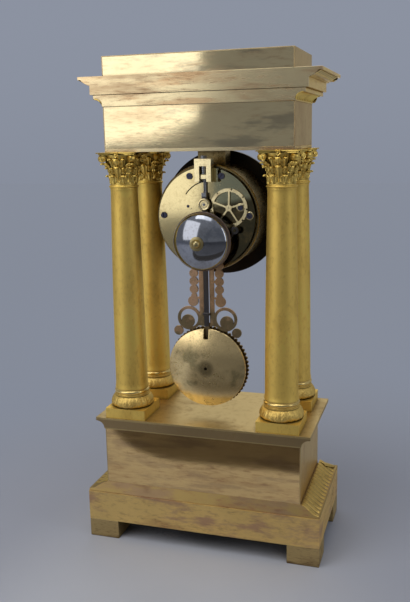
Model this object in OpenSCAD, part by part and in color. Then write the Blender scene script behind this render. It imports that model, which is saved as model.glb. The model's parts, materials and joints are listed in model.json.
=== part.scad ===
// Portico clock: four columns on a stepped base carry an entablature, and a drum movement
// with a bell and a fretted pendulum hangs between them.
// Millimetres, +Z up. The dial looks along -Y and the plain back along +Y.

/* [Base] */
// Height of the four block feet
foot_h = 19.2; // [14:0.2:26]
// Side of a block foot along the front
foot_w = 31.5; // [24:0.5:40]
// Side of a block foot along the depth
foot_d = 30; // [24:0.5:40]
// Width of the plinth
plinth_w = 239; // [225:1:260]
// Reach of the plinth in front of the column centre line
plinth_front = 63; // [58:0.5:75]
// Reach of the plinth behind the column centre line
plinth_back = 60; // [57:0.5:72]
// Height of the plinth
plinth_h = 30.8; // [22:0.2:45]
// Wall of the hollow plinth
plinth_wall = 4; // [3:0.5:6]
// Height of the sloping moulding on the plinth
slope_h = 10.2; // [7:0.2:16]
// Width of the die, the upright block of the base
die_w = 200; // [190:1:212]
// Reach of the die in front of the column centre line
die_front = 47; // [44:0.5:52]
// Reach of the die behind the column centre line
die_back = 54; // [51:0.5:55]
// Height of the die
die_h = 57.8; // [45:0.2:75]
// Sheet of the die and of the entablature
sheet = 3; // [2:0.25:4]
// Edge of the side plates that shows beside an inset back panel
panel_lip = 0.8; // [0.5:0.1:1.5]
// Reach of the base cap beyond the die at the sides and the front
cap_reach = 9.3; // [7:0.1:13]
// Height of the base cap
cap_h = 11.4; // [9:0.2:16]
// Upright edge at the top of the base cap
cap_edge = 3.4; // [2:0.1:5]
// Solid top of the base cap
cap_top = 4.4; // [3:0.1:6]

/* [Columns] */
// Room between the dial flange and the neck of a column
flange_room = 1; // [0.6:0.1:4]
// Column axes inside the front and back faces of the frieze
column_inset = 10.5; // [10:0.1:12]
// Height from the base cap to the soffit
column_h = 263; // [240:1:290]
// Side of the square block under a column
block_w = 42; // [38:0.5:44]
// Height of the square block
block_h = 10.4; // [8:0.2:13]
// Height of the turned base above the block
turned_h = 18.8; // [15:0.2:24]
// Largest radius of the turned base
torus_r = 20.8; // [18:0.2:20.8]
// Radius of the shaft at its foot
shaft_r_low = 16.1; // [14:0.1:17]
// Radius of the shaft at its neck
shaft_r_high = 13; // [11.5:0.1:13.5]
// Swelling of the shaft at mid height
entasis = 0.5; // [0:0.05:0.6]
// Radius of the hollow in the shaft
shaft_bore_r = 9.5; // [7:0.1:10]
// Height of the leaf capital with its slab
capital_h = 30; // [28:0.2:40]
// Half side of the slab on the capital
abacus_half = 20; // [17.5:0.1:21]
// Thickness of that slab
abacus_h = 2.4; // [2:0.1:5]
// Leaves in each row of a capital
leaf_count = 8; // [6:1:10]
// Radius of the tie rod inside a column
tie_r = 2.5; // [2:0.1:3]

/* [Entablature] */
// Width of the frieze
frieze_w = 182.5; // [170:0.5:195]
// Depth of the frieze
frieze_d = 88; // [84:0.5:94]
// Height of the frieze, with the soffit plate
frieze_h = 41.8; // [32:0.2:52]
// Height of the bed moulding under the cornice
bed_h = 11.2; // [8:0.2:15]
// Reach of the bed moulding
bed_reach = 9.3; // [6:0.1:11]
// Height of the cornice
cornice_h = 16.8; // [13:0.2:22]
// Reach of the cornice
cornice_reach = 24; // [18:0.5:30]
// Height of the attic block
attic_h = 17.8; // [12:0.2:26]

/* [Drum and dial] */
// Width of the dark flange round the drum
flange_w = 12.5; // [11:0.1:16]
// Thickness of the flange
flange_t = 3; // [2:0.1:4]
// Room between the plates and the drum
plate_room = 0.7; // [0.5:0.1:2]
// Wall of the drum
drum_wall = 1.8; // [1.2:0.1:2.2]
// Room for the motion work between the front plate and the back of the flange
motion_room = 13; // [12:0.5:15]
// Length of the drum behind the flange
drum_l = 52; // [46:0.5:54]
// Thickness of the enamel dial
dial_t = 1.5; // [1:0.1:2]
// Edge of the flange that shows round the hinged bezel
bezel_inset = 1; // [0.6:0.1:3]
// Reach of the bezel's lip inside the drum's outline
bezel_lip = 0.8; // [0.4:0.1:2]
// Depth of the bezel
bezel_d = 8.7; // [7:0.1:10]
// Height of the domed glass
glass_rise = 6.5; // [5:0.1:9]
// Thickness of the glass
glass_t = 1.5; // [1:0.1:2]
// Radius of a winding hole in the dial
wind_hole_r = 4.5; // [4:0.1:5]

/* [Movement] */
// Radius of the movement's plates
plate_r = 48.5; // [47.8:0.1:53]
// Thickness of the plates
plate_t = 2.5; // [2:0.1:3]
// Distance between the plates
plate_gap = 39; // [38:0.5:42]
// Back face of the back plate behind the column centre line
plate_back_y = 17; // [16:0.5:18]
// Thickness of the train wheels
wheel_t = 1.2; // [0.9:0.1:1.5]
// Radius of the train arbors
arbor_r = 0.9; // [0.7:0.05:1]
// Radius of the pivots in the plates
pivot_r = 0.6; // [0.5:0.05:0.65]
// Running clearance round a shaft
run = 0.07; // [0.05:0.01:0.1]
// Radius of the count wheel
count_r = 18.5; // [16:0.1:18.8]
// Radius of the bell's rim
bell_r = 28; // [25:0.1:30]
// Height of the bell
bell_h = 17.5; // [14:0.1:20]
// Wall of the bell
bell_wall = 1.4; // [1:0.1:2]

/* [Pendulum] */
// Room between the bob's rim and the base cap
bob_room = 9.8; // [6:0.1:20]
// Radius of the plain disc of the bob
bob_r = 39.5; // [34:0.5:42]
// Reach of the leaf rim beyond the bob
rim_reach = 1.5; // [1:0.1:4]
// Rise of the bob's domed back
bob_rise = 5; // [3:0.1:7]
// Width of the pendulum's steel rod
rod_w = 4.7; // [3.5:0.1:5.4]
// Thickness of the rod and of the fretted plate
fret_t = 2; // [1.5:0.1:2.4]

/* [Hidden] */
$fn = 64;
eps = 0.02;

// Colours of the finishes
gilt = "#c9a24a";
panel_brass = "#d9c07a";
old_brass = "#a98a4e";
plate_brass = "#e0d09a";
dark_bronze = "#2b2620";
steel = "#8a9098";
blued = "#2d3a58";
silvered = "#b9bcc2";
enamel = "#f4f1e6";

// Heights of the tiers
plinth_z = foot_h;
slope_z = plinth_z + plinth_h;
die_z = slope_z + slope_h;
cap_z = die_z + die_h;
column_z = cap_z + cap_h;
soffit_z = column_z + column_h;
bed_z = soffit_z + frieze_h;
cornice_z = bed_z + bed_h;
attic_z = cornice_z + cornice_h;

// Reaches of the tiers at the plain back
cap_back = die_back + 1.5;
frieze_back = frieze_d / 2;
bed_back = frieze_back + 1;
cornice_back = frieze_back + 2;
cornice_front = frieze_d / 2 + cornice_reach;

// The origin lies under the middle of the whole depth
centre_y = (cornice_front - plinth_back) / 2;

// The drum fits round the plates, and its flange lies just inside the columns
drum_in_r = plate_r + plate_room;
drum_r = drum_in_r + drum_wall;
flange_r = drum_r + flange_w;

// Places of the columns, which stand just clear of the dial flange
column_gap_x = 2 * (flange_r + flange_room + shaft_r_high);
column_gap_y = frieze_d - 2 * column_inset;
column_places = [for (x = [-1, 1], y = [-1, 1]) [x * column_gap_x / 2, y * column_gap_y / 2]];
tie_hole_r = tie_r + 0.3;
nut_r = 2.2 * tie_r;
nut_h = 1.8 * tie_r;
tie_end = 3;
shaft_z = column_z + block_h + turned_h;
capital_z = soffit_z - capital_h;
shaft_h = capital_z - shaft_z;

// Movement: its centre height and the depths of its layers
bezel_r = flange_r - bezel_inset;
bezel_in_r = drum_r - bezel_lip;
flange_gap = 0.4;
move_z = soffit_z - flange_r - flange_gap;
back_in = plate_back_y - plate_t;
front_in = back_in - plate_gap;
front_out = front_in - plate_t;
flange_y = motion_room - front_out;
flange_front = -flange_y - flange_t;
dial_front = flange_front - dial_t;
ledge_t = 3;
pillar_r = 3;
pillar_waist = 2.2;
pillar_end = 3;
screw_depth = 4.5;
screw_head_h = 1.5;
end_play = 0.3;
pillar_inset = 5.4;
pillar_places = [for (a = [68.2, 111.8, 3.3, 176.7, 270]) step_to([0, 0], a, plate_r - pillar_inset)];
screw_hole_r = 1.3;
screw_head_r = 2.4;
ledge_w = 3;
ledge_screw_r = 0.8;
ledge_head_r = 1.6;
ledge_screw_places = [for (a = [90, 210, 330]) (plate_r - 1.2) * [cos(a), sin(a)]];

// Tooth forms: parts of the pitch taken by the root and the tip of a tooth
wheel_root = 0.56;
wheel_tip = 0.18;
leaf_root = 0.5;
leaf_tip = 0.24;

// Going train: teeth, pitch radii and places from the movement's centre
barrel_teeth = 72;
barrel_pitch = 20;
slow_leaves = 12;
inter_teeth = 72;
inter_pitch = 15;
centre_teeth = 80;
centre_pitch = 12;
third_teeth = 80;
third_pitch = 10.4;
fast_leaves = 8;
escape_teeth = 42;
escape_r = 10.5;
escape_drop = 14.5;
third_side = 5;
centre_at = [0, 0];
going_at = [21.5, -13.4];
slow_pinion_r = barrel_pitch * slow_leaves / barrel_teeth;
centre_pinion_r = inter_pitch * slow_leaves / inter_teeth;
third_pinion_r = centre_pitch * fast_leaves / centre_teeth;
escape_pinion_r = third_pitch * fast_leaves / third_teeth;
inter_at = meet(going_at, barrel_pitch + slow_pinion_r, centre_at, inter_pitch + centre_pinion_r, -1);
third_at = [-third_side, sqrt(pow(centre_pitch + third_pinion_r, 2) - pow(third_side, 2))];
escape_at = [0, third_at.y + sqrt(pow(third_pitch + escape_pinion_r, 2) - pow(third_side, 2))];
swing_up = escape_at.y + escape_drop;

// Strike train
second_teeth = 72;
second_pitch = 13.5;
pin_teeth = 64;
pin_pitch = 9;
stop_teeth = 64;
stop_pitch = 8;
pin_count = 10;
count_notches = 12;
strike_at = [-going_at.x, going_at.y];
pin_pinion_r = second_pitch * fast_leaves / second_teeth;
stop_pinion_r = pin_pitch * fast_leaves / pin_teeth;
fly_pinion_r = stop_pitch * fast_leaves / stop_teeth;
second_at = step_to(strike_at, 93.7, barrel_pitch + slow_pinion_r);
pin_at = step_to(second_at, 120, second_pitch + pin_pinion_r);
stop_at = step_to(pin_at, 14, pin_pitch + stop_pinion_r);
fly_at = step_to(stop_at, 45, stop_pitch + fly_pinion_r);
fly_half = 4.6;

// Motion work between the front plate and the dial
cannon_leaves = 16;
cannon_pitch = 4;
minute_teeth = 48;
minute_pitch = cannon_pitch * minute_teeth / cannon_leaves;
motion_d = cannon_pitch + minute_pitch;
minute_leaves = 12;
hour_teeth = 48;
hour_pitch = motion_d * hour_teeth / (hour_teeth + minute_leaves);
minute_pinion_r = motion_d - hour_pitch;
minute_at = step_to(centre_at, 60, motion_d);
centre_arbor_r = 1.2;
cannon_r = 2;
hour_pipe_r = 3;
stud_r = 1.5;

// Depths of the wheels, from the barrels at the front to the escapement at the back
barrel_y = [front_in + 1.5, front_in + 15];
barrel_rim_y = barrel_y[1];
slow_y = [barrel_rim_y - wheel_t - 1.4, barrel_rim_y + 1.4];
low_y = barrel_rim_y + 3;
mid_y = low_y + 5;
high_y = mid_y + 6.6;
escape_y = high_y + 6;
pinion_half = 2;
anchor_t = 1.8;

// Winding arbors
wind_r = 2.6;
wind_square = 4;
wind_tip_y = flange_front + 3;
ratchet_r = 8;
ratchet_teeth = 24;

// Behind the back plate
count_y = plate_back_y + 0.7;
crutch_y = [plate_back_y + 0.6, plate_back_y + 2];
fret_y = plate_back_y + 2;
rod_y = fret_y + fret_t;
rod_back = rod_y + fret_t;
swing_z = move_z + swing_up;
eye_z = swing_z - 23.6;
eye_r = 5.8;
crutch_pin_r = 1.2;
rim_r = bob_r + rim_reach;
bob_z = column_z + bob_room + rim_r;
bob_y = rod_y + 1;
bell_at = [0, -21];
bell_y = plate_back_y + 14.2;
bell_hole_r = 2.3;
bell_sphere_r = (bell_r * bell_r + bell_h * bell_h) / (2 * bell_h);
stand_at = [14, -19];
stand_r = 2.5;
stand_y = [bell_y + 4.6, bell_y + 7.6];
hammer_at = [-31, -10.5];
hammer_inset = 8.1;
hammer_head = step_to(bell_at, 214.3, bell_r - hammer_inset);
hammer_y = [plate_back_y + 8, plate_back_y + 10.5];
head_r = 3.2;
spring_t = 0.3;
spring_l = 13;
chop_h = 3.5;
cock_half = 8.2;
cock_slot = 3.4;
cock_y = [plate_back_y, plate_back_y + 9];
screw_y = rod_y + fret_t / 2;
screw_r = 1.75;

// Fretted plate of the pendulum, heights from the bob's middle
fret_bar = [3, 7.6];
bead_r = 4.4;
bead_x = 13;
scroll_at = [18.6, 49.2];
scroll_r = 12;
scroll_in_r = 9.2;
fret_top = 113;
neck_z = [bob_r + 2.5, bob_r + 5.5];

// Bezel hinge on the right of the dial
hinge_r = 2.2;
hinge_at = [flange_r + 2, flange_front - hinge_r - 0.3];
hinge_pin_r = 1;
knuckle_h = 5;
knuckle_gap = 0.3;

// Point at a distance and an angle from another
function step_to(p, angle, d) = p + d * [cos(angle), sin(angle)];
function angle_to(a, b) = atan2(b.y - a.y, b.x - a.x);
// Point at distance ra from a and rb from b, on the left (1) or the right (-1) of the way from a to b
function meet(a, ra, b, rb, side) =
    let (d = norm(b - a), along = (ra * ra - rb * rb + d * d) / (2 * d))
    let (off = side * sqrt(ra * ra - along * along), way = (b - a) / d)
    a + along * way + off * [-way.y, way.x];
// Angle of a tooth on wheel b that meshes with wheel a, whose tooth stands at phase_a
function mesh_phase(a, b, teeth_a, phase_a, teeth_b) =
    let (way = angle_to(a, b))
    way + 180 - (phase_a - way) * teeth_a / teeth_b + 180 / teeth_b;
// Points of an S curve from p to q that leaves and arrives level or upright
function ogee(p, q, steps = 8) =
    [for (i = [0:steps]) let (t = i / steps)
        [p.x + (q.x - p.x) * t, p.y + (q.y - p.y) * (1 - cos(180 * t)) / 2]];
// Points of a quarter hollow from p to q, which starts upright
function hollow(p, q, steps = 6) =
    [for (i = [0:steps]) let (t = 90 * i / steps)
        [p.x + (q.x - p.x) * (1 - cos(t)), p.y + (q.y - p.y) * sin(t)]];

// Places a whole piece so that the origin lies under the middle of the depth
module in_place() {
    translate([0, centre_y, 0]) children();
}
// A flat piece drawn in X and Z, from depth y0 to y1
module slab(y0, y1) {
    translate([0, y1, 0]) rotate([90, 0, 0]) linear_extrude(y1 - y0) children();
}
// The same, drawn round the movement's centre
module layer(y0, y1) {
    translate([0, 0, move_z]) slab(y0, y1) children();
}
// A round piece turned about the movement's axis or one beside it, drawn as radius and depth
module turned(p = [0, 0]) {
    translate([p.x, 0, move_z + p.y]) rotate([-90, 0, 0]) rotate_extrude() children();
}
// A drilled or solid rod along Y, round the movement's centre
module rod(p, r, y0, y1) {
    layer(y0, y1) translate(p) circle(r);
}
// An upright round piece
module upright(p, r, z0, z1) {
    translate([p.x, p.y, z0]) cylinder(r = r, h = z1 - z0);
}
module at_columns() {
    for (p = column_places) translate([p.x, p.y, 0]) children();
}
// Upright walls of a tier, from its outline at the sides, front and back
module box(w, front, back, z0, z1) {
    translate([-w / 2, -front, z0]) cube([w, front + back, z1 - z0]);
}
// A moulding that runs round the front and both sides and is cut off flat at the back.
// side_line holds points of reach beyond the wall and height; back_low moves the foot of the back outwards.
module moulding(w, front, back, side_line, back_low = 0) {
    low = side_line[0].y;
    high = side_line[len(side_line) - 1].y;
    far = 2 * (w + front + back);
    mirrored = [for (i = [len(side_line) - 1:-1:0]) [-w / 2 - side_line[i].x, side_line[i].y]];
    right = [for (p = side_line) [w / 2 + p.x, p.y]];
    forward = [for (i = [len(side_line) - 1:-1:0]) [-front - side_line[i].x, side_line[i].y]];
    intersection() {
        translate([0, far / 2, 0]) rotate([90, 0, 0]) linear_extrude(far) polygon(concat(right, mirrored));
        translate([-far / 2, 0, 0]) rotate([90, 0, 90]) linear_extrude(far)
            polygon(concat([[back + back_low, low], [back, high]], forward));
    }
}
// Outline of a toothed wheel: parts of the pitch at the root and the tip, and heights of both
module toothed(teeth, pitch_r, phase, root_part, tip_part, up, down) {
    step = 360 / teeth;
    root_r = pitch_r - down;
    tip_r = pitch_r + up;
    corners = [[-root_part, root_r], [-tip_part, tip_r], [tip_part, tip_r], [root_part, root_r]];
    polygon([for (i = [0:teeth - 1], k = corners)
        k[1] * [cos(phase + step * (i + k[0] / 2)), sin(phase + step * (i + k[0] / 2))]]);
}
// A wheel's teeth stand 0.75 modules above the pitch circle, a pinion's leaves 0.45
module wheel_outline(teeth, pitch_r, phase) {
    tooth = 2 * pitch_r / teeth;
    toothed(teeth, pitch_r, phase, wheel_root, wheel_tip, 0.75 * tooth, 0.9 * tooth);
}
module pinion_outline(leaves, pitch_r, phase) {
    tooth = 2 * pitch_r / leaves;
    toothed(leaves, pitch_r, phase, leaf_root, leaf_tip, 0.45 * tooth, 1.1 * tooth);
}
// Windows between the spokes of a crossed-out wheel
module crossing(rim_r, hub_r, spokes, spoke_w, phase) {
    difference() {
        circle(rim_r);
        circle(hub_r);
        for (i = [0:spokes - 1]) rotate(phase + 360 / spokes * i)
            translate([0, -spoke_w / 2]) square([rim_r + 1, spoke_w]);
    }
}
// A crossed-out wheel at a place and depth
module spoked_wheel(p, y, teeth, pitch_r, phase, spokes = 4) {
    layer(y, y + wheel_t) translate(p) difference() {
        wheel_outline(teeth, pitch_r, phase);
        crossing(pitch_r - 2.4, 2.6, spokes, 1.4, phase);
    }
}
// An arbor between the plates, with a pivot in each
module arbor(p, r = arbor_r) {
    rod(p, r, front_in + end_play, back_in - end_play);
    rod(p, pivot_r, front_out + end_play, plate_back_y - end_play);
}
module pinion(p, y, leaves, pitch_r, phase) {
    layer(y - pinion_half, y + pinion_half) translate(p) pinion_outline(leaves, pitch_r, phase);
}

module feet() {
    x0 = plinth_w / 2 - foot_w;
    color(old_brass) for (side = [-1, 1]) {
        translate([side > 0 ? x0 : -plinth_w / 2, -plinth_front, 0]) cube([foot_w, foot_d, foot_h]);
        translate([side > 0 ? x0 : -plinth_w / 2, plinth_back - foot_d, 0]) cube([foot_w, foot_d, foot_h]);
    }
}
module plinth() {
    color(old_brass) difference() {
        box(plinth_w, plinth_front, plinth_back, plinth_z, slope_z);
        box(plinth_w - 2 * plinth_wall, plinth_front - plinth_wall, plinth_back - plinth_wall,
            plinth_z - 1, slope_z + 1);
    }
}
module plinth_moulding() {
    reach = (plinth_w - die_w) / 2;
    lip = 2;
    back_lip = 1;
    top = 1.2;
    line = concat([[reach, slope_z], [reach, slope_z + lip]],
        ogee([reach - 1, slope_z + lip], [top, die_z - 1]), [[top, die_z]]);
    color(gilt) difference() {
        moulding(die_w, plinth_front - reach, die_back, line, plinth_back - die_back - back_lip);
        box(die_w - 2 * sheet, die_front - sheet, die_back - sheet, slope_z - 1, die_z + 1);
    }
}
module die_case() {
    color(gilt) difference() {
        box(die_w, die_front, die_back, die_z, cap_z);
        box(die_w - 2 * sheet, die_front - sheet, die_back + 1, die_z - 1, cap_z + 1);
        box(die_w - 2 * panel_lip, sheet - die_back, die_back + 1, die_z - 1, cap_z + 1);
    }
}
module die_back_panel() {
    color(panel_brass) box(die_w - 2 * panel_lip, sheet - die_back, die_back, die_z, cap_z);
}
module base_cap() {
    neck = [0.6, cap_z + 1];
    line = concat([[neck.x, cap_z], neck], hollow(neck, [cap_reach, column_z - cap_edge]),
        [[cap_reach, column_z]]);
    color(old_brass) difference() {
        moulding(die_w, die_front + 1, cap_back, line);
        box(die_w - 4 * sheet, die_front - 2 * sheet, die_back - 2 * sheet, cap_z - 1, column_z - cap_top);
        at_columns() upright([0, 0], tie_hole_r, cap_z, column_z + 1);
    }
}

module column_base() {
    z0 = block_h;
    ring_h = 4.2;
    ring_drop = 1;
    step_h = 0.8;
    round_r = 0.31 * turned_h;
    neck = shaft_r_low + 0.4;
    difference() {
        union() {
            translate([-block_w / 2, -block_w / 2, 0]) cube([block_w, block_w, block_h]);
            rotate_extrude() {
                square([neck, z0 + turned_h]);
                translate([0, z0]) square([torus_r - round_r, 2 * round_r]);
                translate([torus_r - round_r, z0 + round_r]) circle(round_r);
                translate([0, z0 + 2 * round_r]) square([torus_r - round_r / 2, step_h]);
                translate([0, z0 + turned_h - ring_h - ring_drop]) square([neck, ring_h]);
                translate([neck - ring_h / 4, z0 + turned_h - ring_h / 2 - ring_drop]) circle(ring_h / 2);
            }
        }
        upright([0, 0], tie_hole_r, -1, z0 + turned_h + 1);
    }
}
module column_bases() {
    color(gilt) at_columns() translate([0, 0, column_z]) column_base();
}
// Radius of the shaft at a part of its height, with its swelling
function shaft_r(t) = shaft_r_low + (shaft_r_high - shaft_r_low) * t + entasis * sin(180 * t);
module column_shaft() {
    steps = 10;
    neck_h = 4;
    foot_h = 2.4;
    foot_out = 0.6;
    bead_out = 1.3;
    lip_out = 0.4;
    lip_h = 0.8;
    foot = [[shaft_r_low + foot_out, 0], [shaft_r_low + foot_out, foot_h / 2]];
    side = [for (i = [0:steps]) [shaft_r(i / steps), foot_h + (shaft_h - neck_h - foot_h) * i / steps]];
    neck = [[shaft_r_high + bead_out, shaft_h - neck_h + lip_h],
        [shaft_r_high + bead_out, shaft_h - 1.5 * lip_h],
        [shaft_r_high + lip_out, shaft_h - lip_h], [shaft_r_high + lip_out, shaft_h]];
    rotate_extrude()
        polygon(concat([[shaft_bore_r, shaft_h], [shaft_bore_r, 0]], foot, side, neck));
}
module column_shafts() {
    color(gilt) at_columns() translate([0, 0, shaft_z]) column_shaft();
}
// One row of leaves round the capital: each is a curved strip with a narrower curling tip
module leaf_row(z0, z1, r, turn) {
    wide = 360 / leaf_count - 7;
    tip = wide * 0.55;
    root = r - 1.5;
    thick = 0.9;
    curl = 3.6;
    curl_h = 1.4;
    for (i = [0:leaf_count - 1]) {
        rotate(turn + 360 / leaf_count * i - wide / 2) rotate_extrude(angle = wide)
            polygon([[root, z0], [r + thick, z0], [r + 1.5 * thick, z1 - 2 * curl_h],
                [root, z1 - 2 * curl_h]]);
        rotate(turn + 360 / leaf_count * i - tip / 2) rotate_extrude(angle = tip)
            polygon([[root, z0], [r + 1.7 * thick, z0], [r + 2 * thick, z1 - 2 * curl_h],
                [r + curl, z1 - curl_h], [r + 0.9 * curl, z1], [root, z1 - curl_h / 2]]);
    }
}
module capital() {
    bell_h = capital_h - abacus_h;
    core_r = shaft_r_high - 0.4;
    core_flare = 3.4;
    row_h = bell_h / 3.1;
    volute_r = bell_h / 8;
    volute_w = 5.2;
    stem_w = 3.2;
    stem_h = 2.6 * volute_r;
    corner = 1.12 * abacus_half;
    corner_cut = 6;
    difference() {
        union() {
            rotate_extrude() polygon(concat([[0, 0], [core_r, 0]],
                hollow([core_r, bell_h * 0.45], [core_r + core_flare, bell_h]), [[0, bell_h]]));
            leaf_row(0, row_h, core_r, 0);
            leaf_row(row_h * 0.8, 2 * row_h, core_r, 180 / leaf_count);
            for (a = [45:90:315]) rotate(a) {
                translate([0, -stem_w / 2, bell_h - stem_h]) cube([corner, stem_w, stem_h]);
                translate([corner, volute_w / 2, bell_h - volute_r]) rotate([90, 0, 0])
                    cylinder(r = volute_r, h = volute_w);
            }
            translate([0, 0, bell_h]) linear_extrude(abacus_h) difference() {
                square(2 * abacus_half, center = true);
                for (a = [0:90:270]) rotate(a) translate([abacus_half * 2.45, 0]) circle(abacus_half * 1.62);
                for (a = [45:90:315]) rotate(a)
                    translate([abacus_half * 1.3, -corner_cut / 2]) square(corner_cut);
            }
        }
        upright([0, 0], tie_hole_r, -1, capital_h + 1);
    }
}
module column_capitals() {
    color(gilt) at_columns() translate([0, 0, capital_z]) capital();
}
module tie_rods() {
    color(steel) at_columns()
        upright([0, 0], tie_r, column_z - cap_top - nut_h - tie_end, soffit_z + sheet + nut_h + tie_end);
}
module tie_rod_nuts() {
    color(steel) at_columns() for (z = [column_z - cap_top - nut_h, soffit_z + sheet])
        difference() {
            translate([0, 0, z]) cylinder(r = nut_r, h = nut_h, $fn = 6);
            upright([0, 0], tie_r + 0.05, z - 1, z + nut_h + 1);
        }
}

module soffit_plate() {
    color(panel_brass) difference() {
        box(frieze_w, frieze_d / 2, frieze_back, soffit_z, soffit_z + sheet);
        at_columns() upright([0, 0], tie_hole_r, soffit_z - 1, soffit_z + sheet + 1);
        for (p = hanger_screw_places) upright(p, hanger_screw_r + 0.2, soffit_z - 1, soffit_z + sheet + 1);
    }
}
module frieze_case() {
    color(gilt) difference() {
        box(frieze_w, frieze_d / 2, frieze_back, soffit_z + sheet, bed_z);
        box(frieze_w - 2 * sheet, frieze_d / 2 - sheet, frieze_back + 1, soffit_z, bed_z + 1);
        box(frieze_w - 2 * panel_lip, sheet - frieze_back, frieze_back + 1, soffit_z, bed_z + 1);
    }
}
module frieze_back_panel() {
    color(panel_brass)
        box(frieze_w - 2 * panel_lip, sheet - frieze_back, frieze_back, soffit_z + sheet, bed_z);
}
// Hollow inside the mouldings of the entablature
module entablature_hollow(z0, z1) {
    box(frieze_w - 4 * sheet, frieze_d / 2 - 2 * sheet, frieze_back - 2 * sheet, z0, z1);
}
module bed_moulding() {
    neck = [0.5, bed_z + 1];
    step = 1.4;
    edge = 4;
    line = concat([[neck.x, bed_z]], hollow(neck, [bed_reach - step, cornice_z - edge]),
        [[bed_reach, cornice_z - edge], [bed_reach, cornice_z]]);
    color(gilt) difference() {
        moulding(frieze_w, frieze_d / 2, bed_back, line);
        entablature_hollow(bed_z - 1, cornice_z + 1);
    }
}
module cornice() {
    corona = cornice_reach / 2;
    corona_top = cornice_z + cornice_h / 2;
    edge = 3;
    step = 2;
    line = concat([[corona, cornice_z], [corona, corona_top], [corona + step, corona_top + step / 4]],
        ogee([corona + step, corona_top + step / 2], [cornice_reach - step / 2, attic_z - edge]),
        [[cornice_reach, attic_z - edge], [cornice_reach, attic_z]]);
    color(gilt) difference() {
        moulding(frieze_w, frieze_d / 2, cornice_back, line);
        entablature_hollow(cornice_z - 1, attic_z + 1);
    }
}
attic_inset = 0.5;
module attic_case() {
    w = frieze_w - 2 * attic_inset;
    front = frieze_d / 2 - attic_inset;
    back = frieze_back - attic_inset;
    top_z = attic_z + attic_h;
    color(gilt) difference() {
        box(w, front, back, attic_z, top_z);
        box(w - 2 * sheet, front - sheet, back + 1, attic_z - 1, top_z - sheet);
        box(w - 2 * panel_lip, sheet - back, back + 1, attic_z - 1, top_z - panel_lip);
    }
}
module attic_back_panel() {
    w = frieze_w - 2 * attic_inset;
    back = frieze_back - attic_inset;
    color(panel_brass)
        box(w - 2 * panel_lip, sheet - back, back, attic_z, attic_z + attic_h - panel_lip);
}

module drum() {
    back_y = drum_l - flange_y;
    bead = [0.8, 3];
    color(old_brass) difference() {
        turned() {
            translate([drum_in_r, -flange_y]) square([drum_wall, drum_l]);
            translate([drum_in_r - ledge_w, front_out - ledge_t]) square([ledge_w + eps, ledge_t]);
            translate([drum_r - eps, back_y - bead.y]) square(bead);
        }
        for (p = ledge_screw_places) rod(p, ledge_screw_r, front_out - ledge_t / 2, front_out + 1);
    }
}
module dial_flange() {
    tab_x = [flange_r - hinge_r, hinge_at.x];
    arm_x = [bezel_r + knuckle_gap, hinge_at.x];
    span = 3 * knuckle_h + 2 * knuckle_gap;
    color(dark_bronze) difference() {
        union() {
            turned() translate([drum_in_r, flange_front]) square([flange_r - drum_in_r, flange_t]);
            for (side = [-1, 1])
                translate([0, 0, move_z + side * (knuckle_h + knuckle_gap) - knuckle_h / 2]) {
                translate([hinge_at.x, hinge_at.y, 0]) cylinder(r = hinge_r, h = knuckle_h);
                translate([tab_x[0], flange_front, 0])
                    cube([tab_x[1] - tab_x[0], flange_t - 1, knuckle_h]);
                translate([arm_x[0], hinge_at.y, 0])
                    cube([arm_x[1] - arm_x[0], flange_front + eps - hinge_at.y, knuckle_h]);
            }
        }
        translate([hinge_at.x, hinge_at.y, move_z - span]) cylinder(r = hinge_pin_r, h = 2 * span);
        turned() translate([0, flange_front - 5]) square([drum_in_r, flange_t + 10]);
    }
}
hanger_half = 14;
hanger_y = [-22, -4];
hanger_screw_r = 2;
hanger_screw_l = 5;
hanger_head_h = 2.4;
hanger_screw_places = [for (x = [-hanger_half, hanger_half]) [0.57 * x, (hanger_y[0] + hanger_y[1]) / 2]];
module hanger_bracket() {
    low = move_z + drum_r * 0.93;
    color(old_brass) difference() {
        translate([-hanger_half, hanger_y[0], low])
            cube([2 * hanger_half, hanger_y[1] - hanger_y[0], soffit_z - low]);
        turned() translate([0, hanger_y[0] - 5]) square([drum_r, hanger_y[1] - hanger_y[0] + 10]);
        for (p = hanger_screw_places) upright(p, hanger_screw_r, soffit_z - hanger_screw_l, soffit_z + 1);
    }
}
module hanger_screws() {
    color(steel) for (p = hanger_screw_places) {
        upright(p, hanger_screw_r, soffit_z - hanger_screw_l, soffit_z + sheet);
        upright(p, 1.8 * hanger_screw_r, soffit_z + sheet, soffit_z + sheet + hanger_head_h);
    }
}

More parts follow.
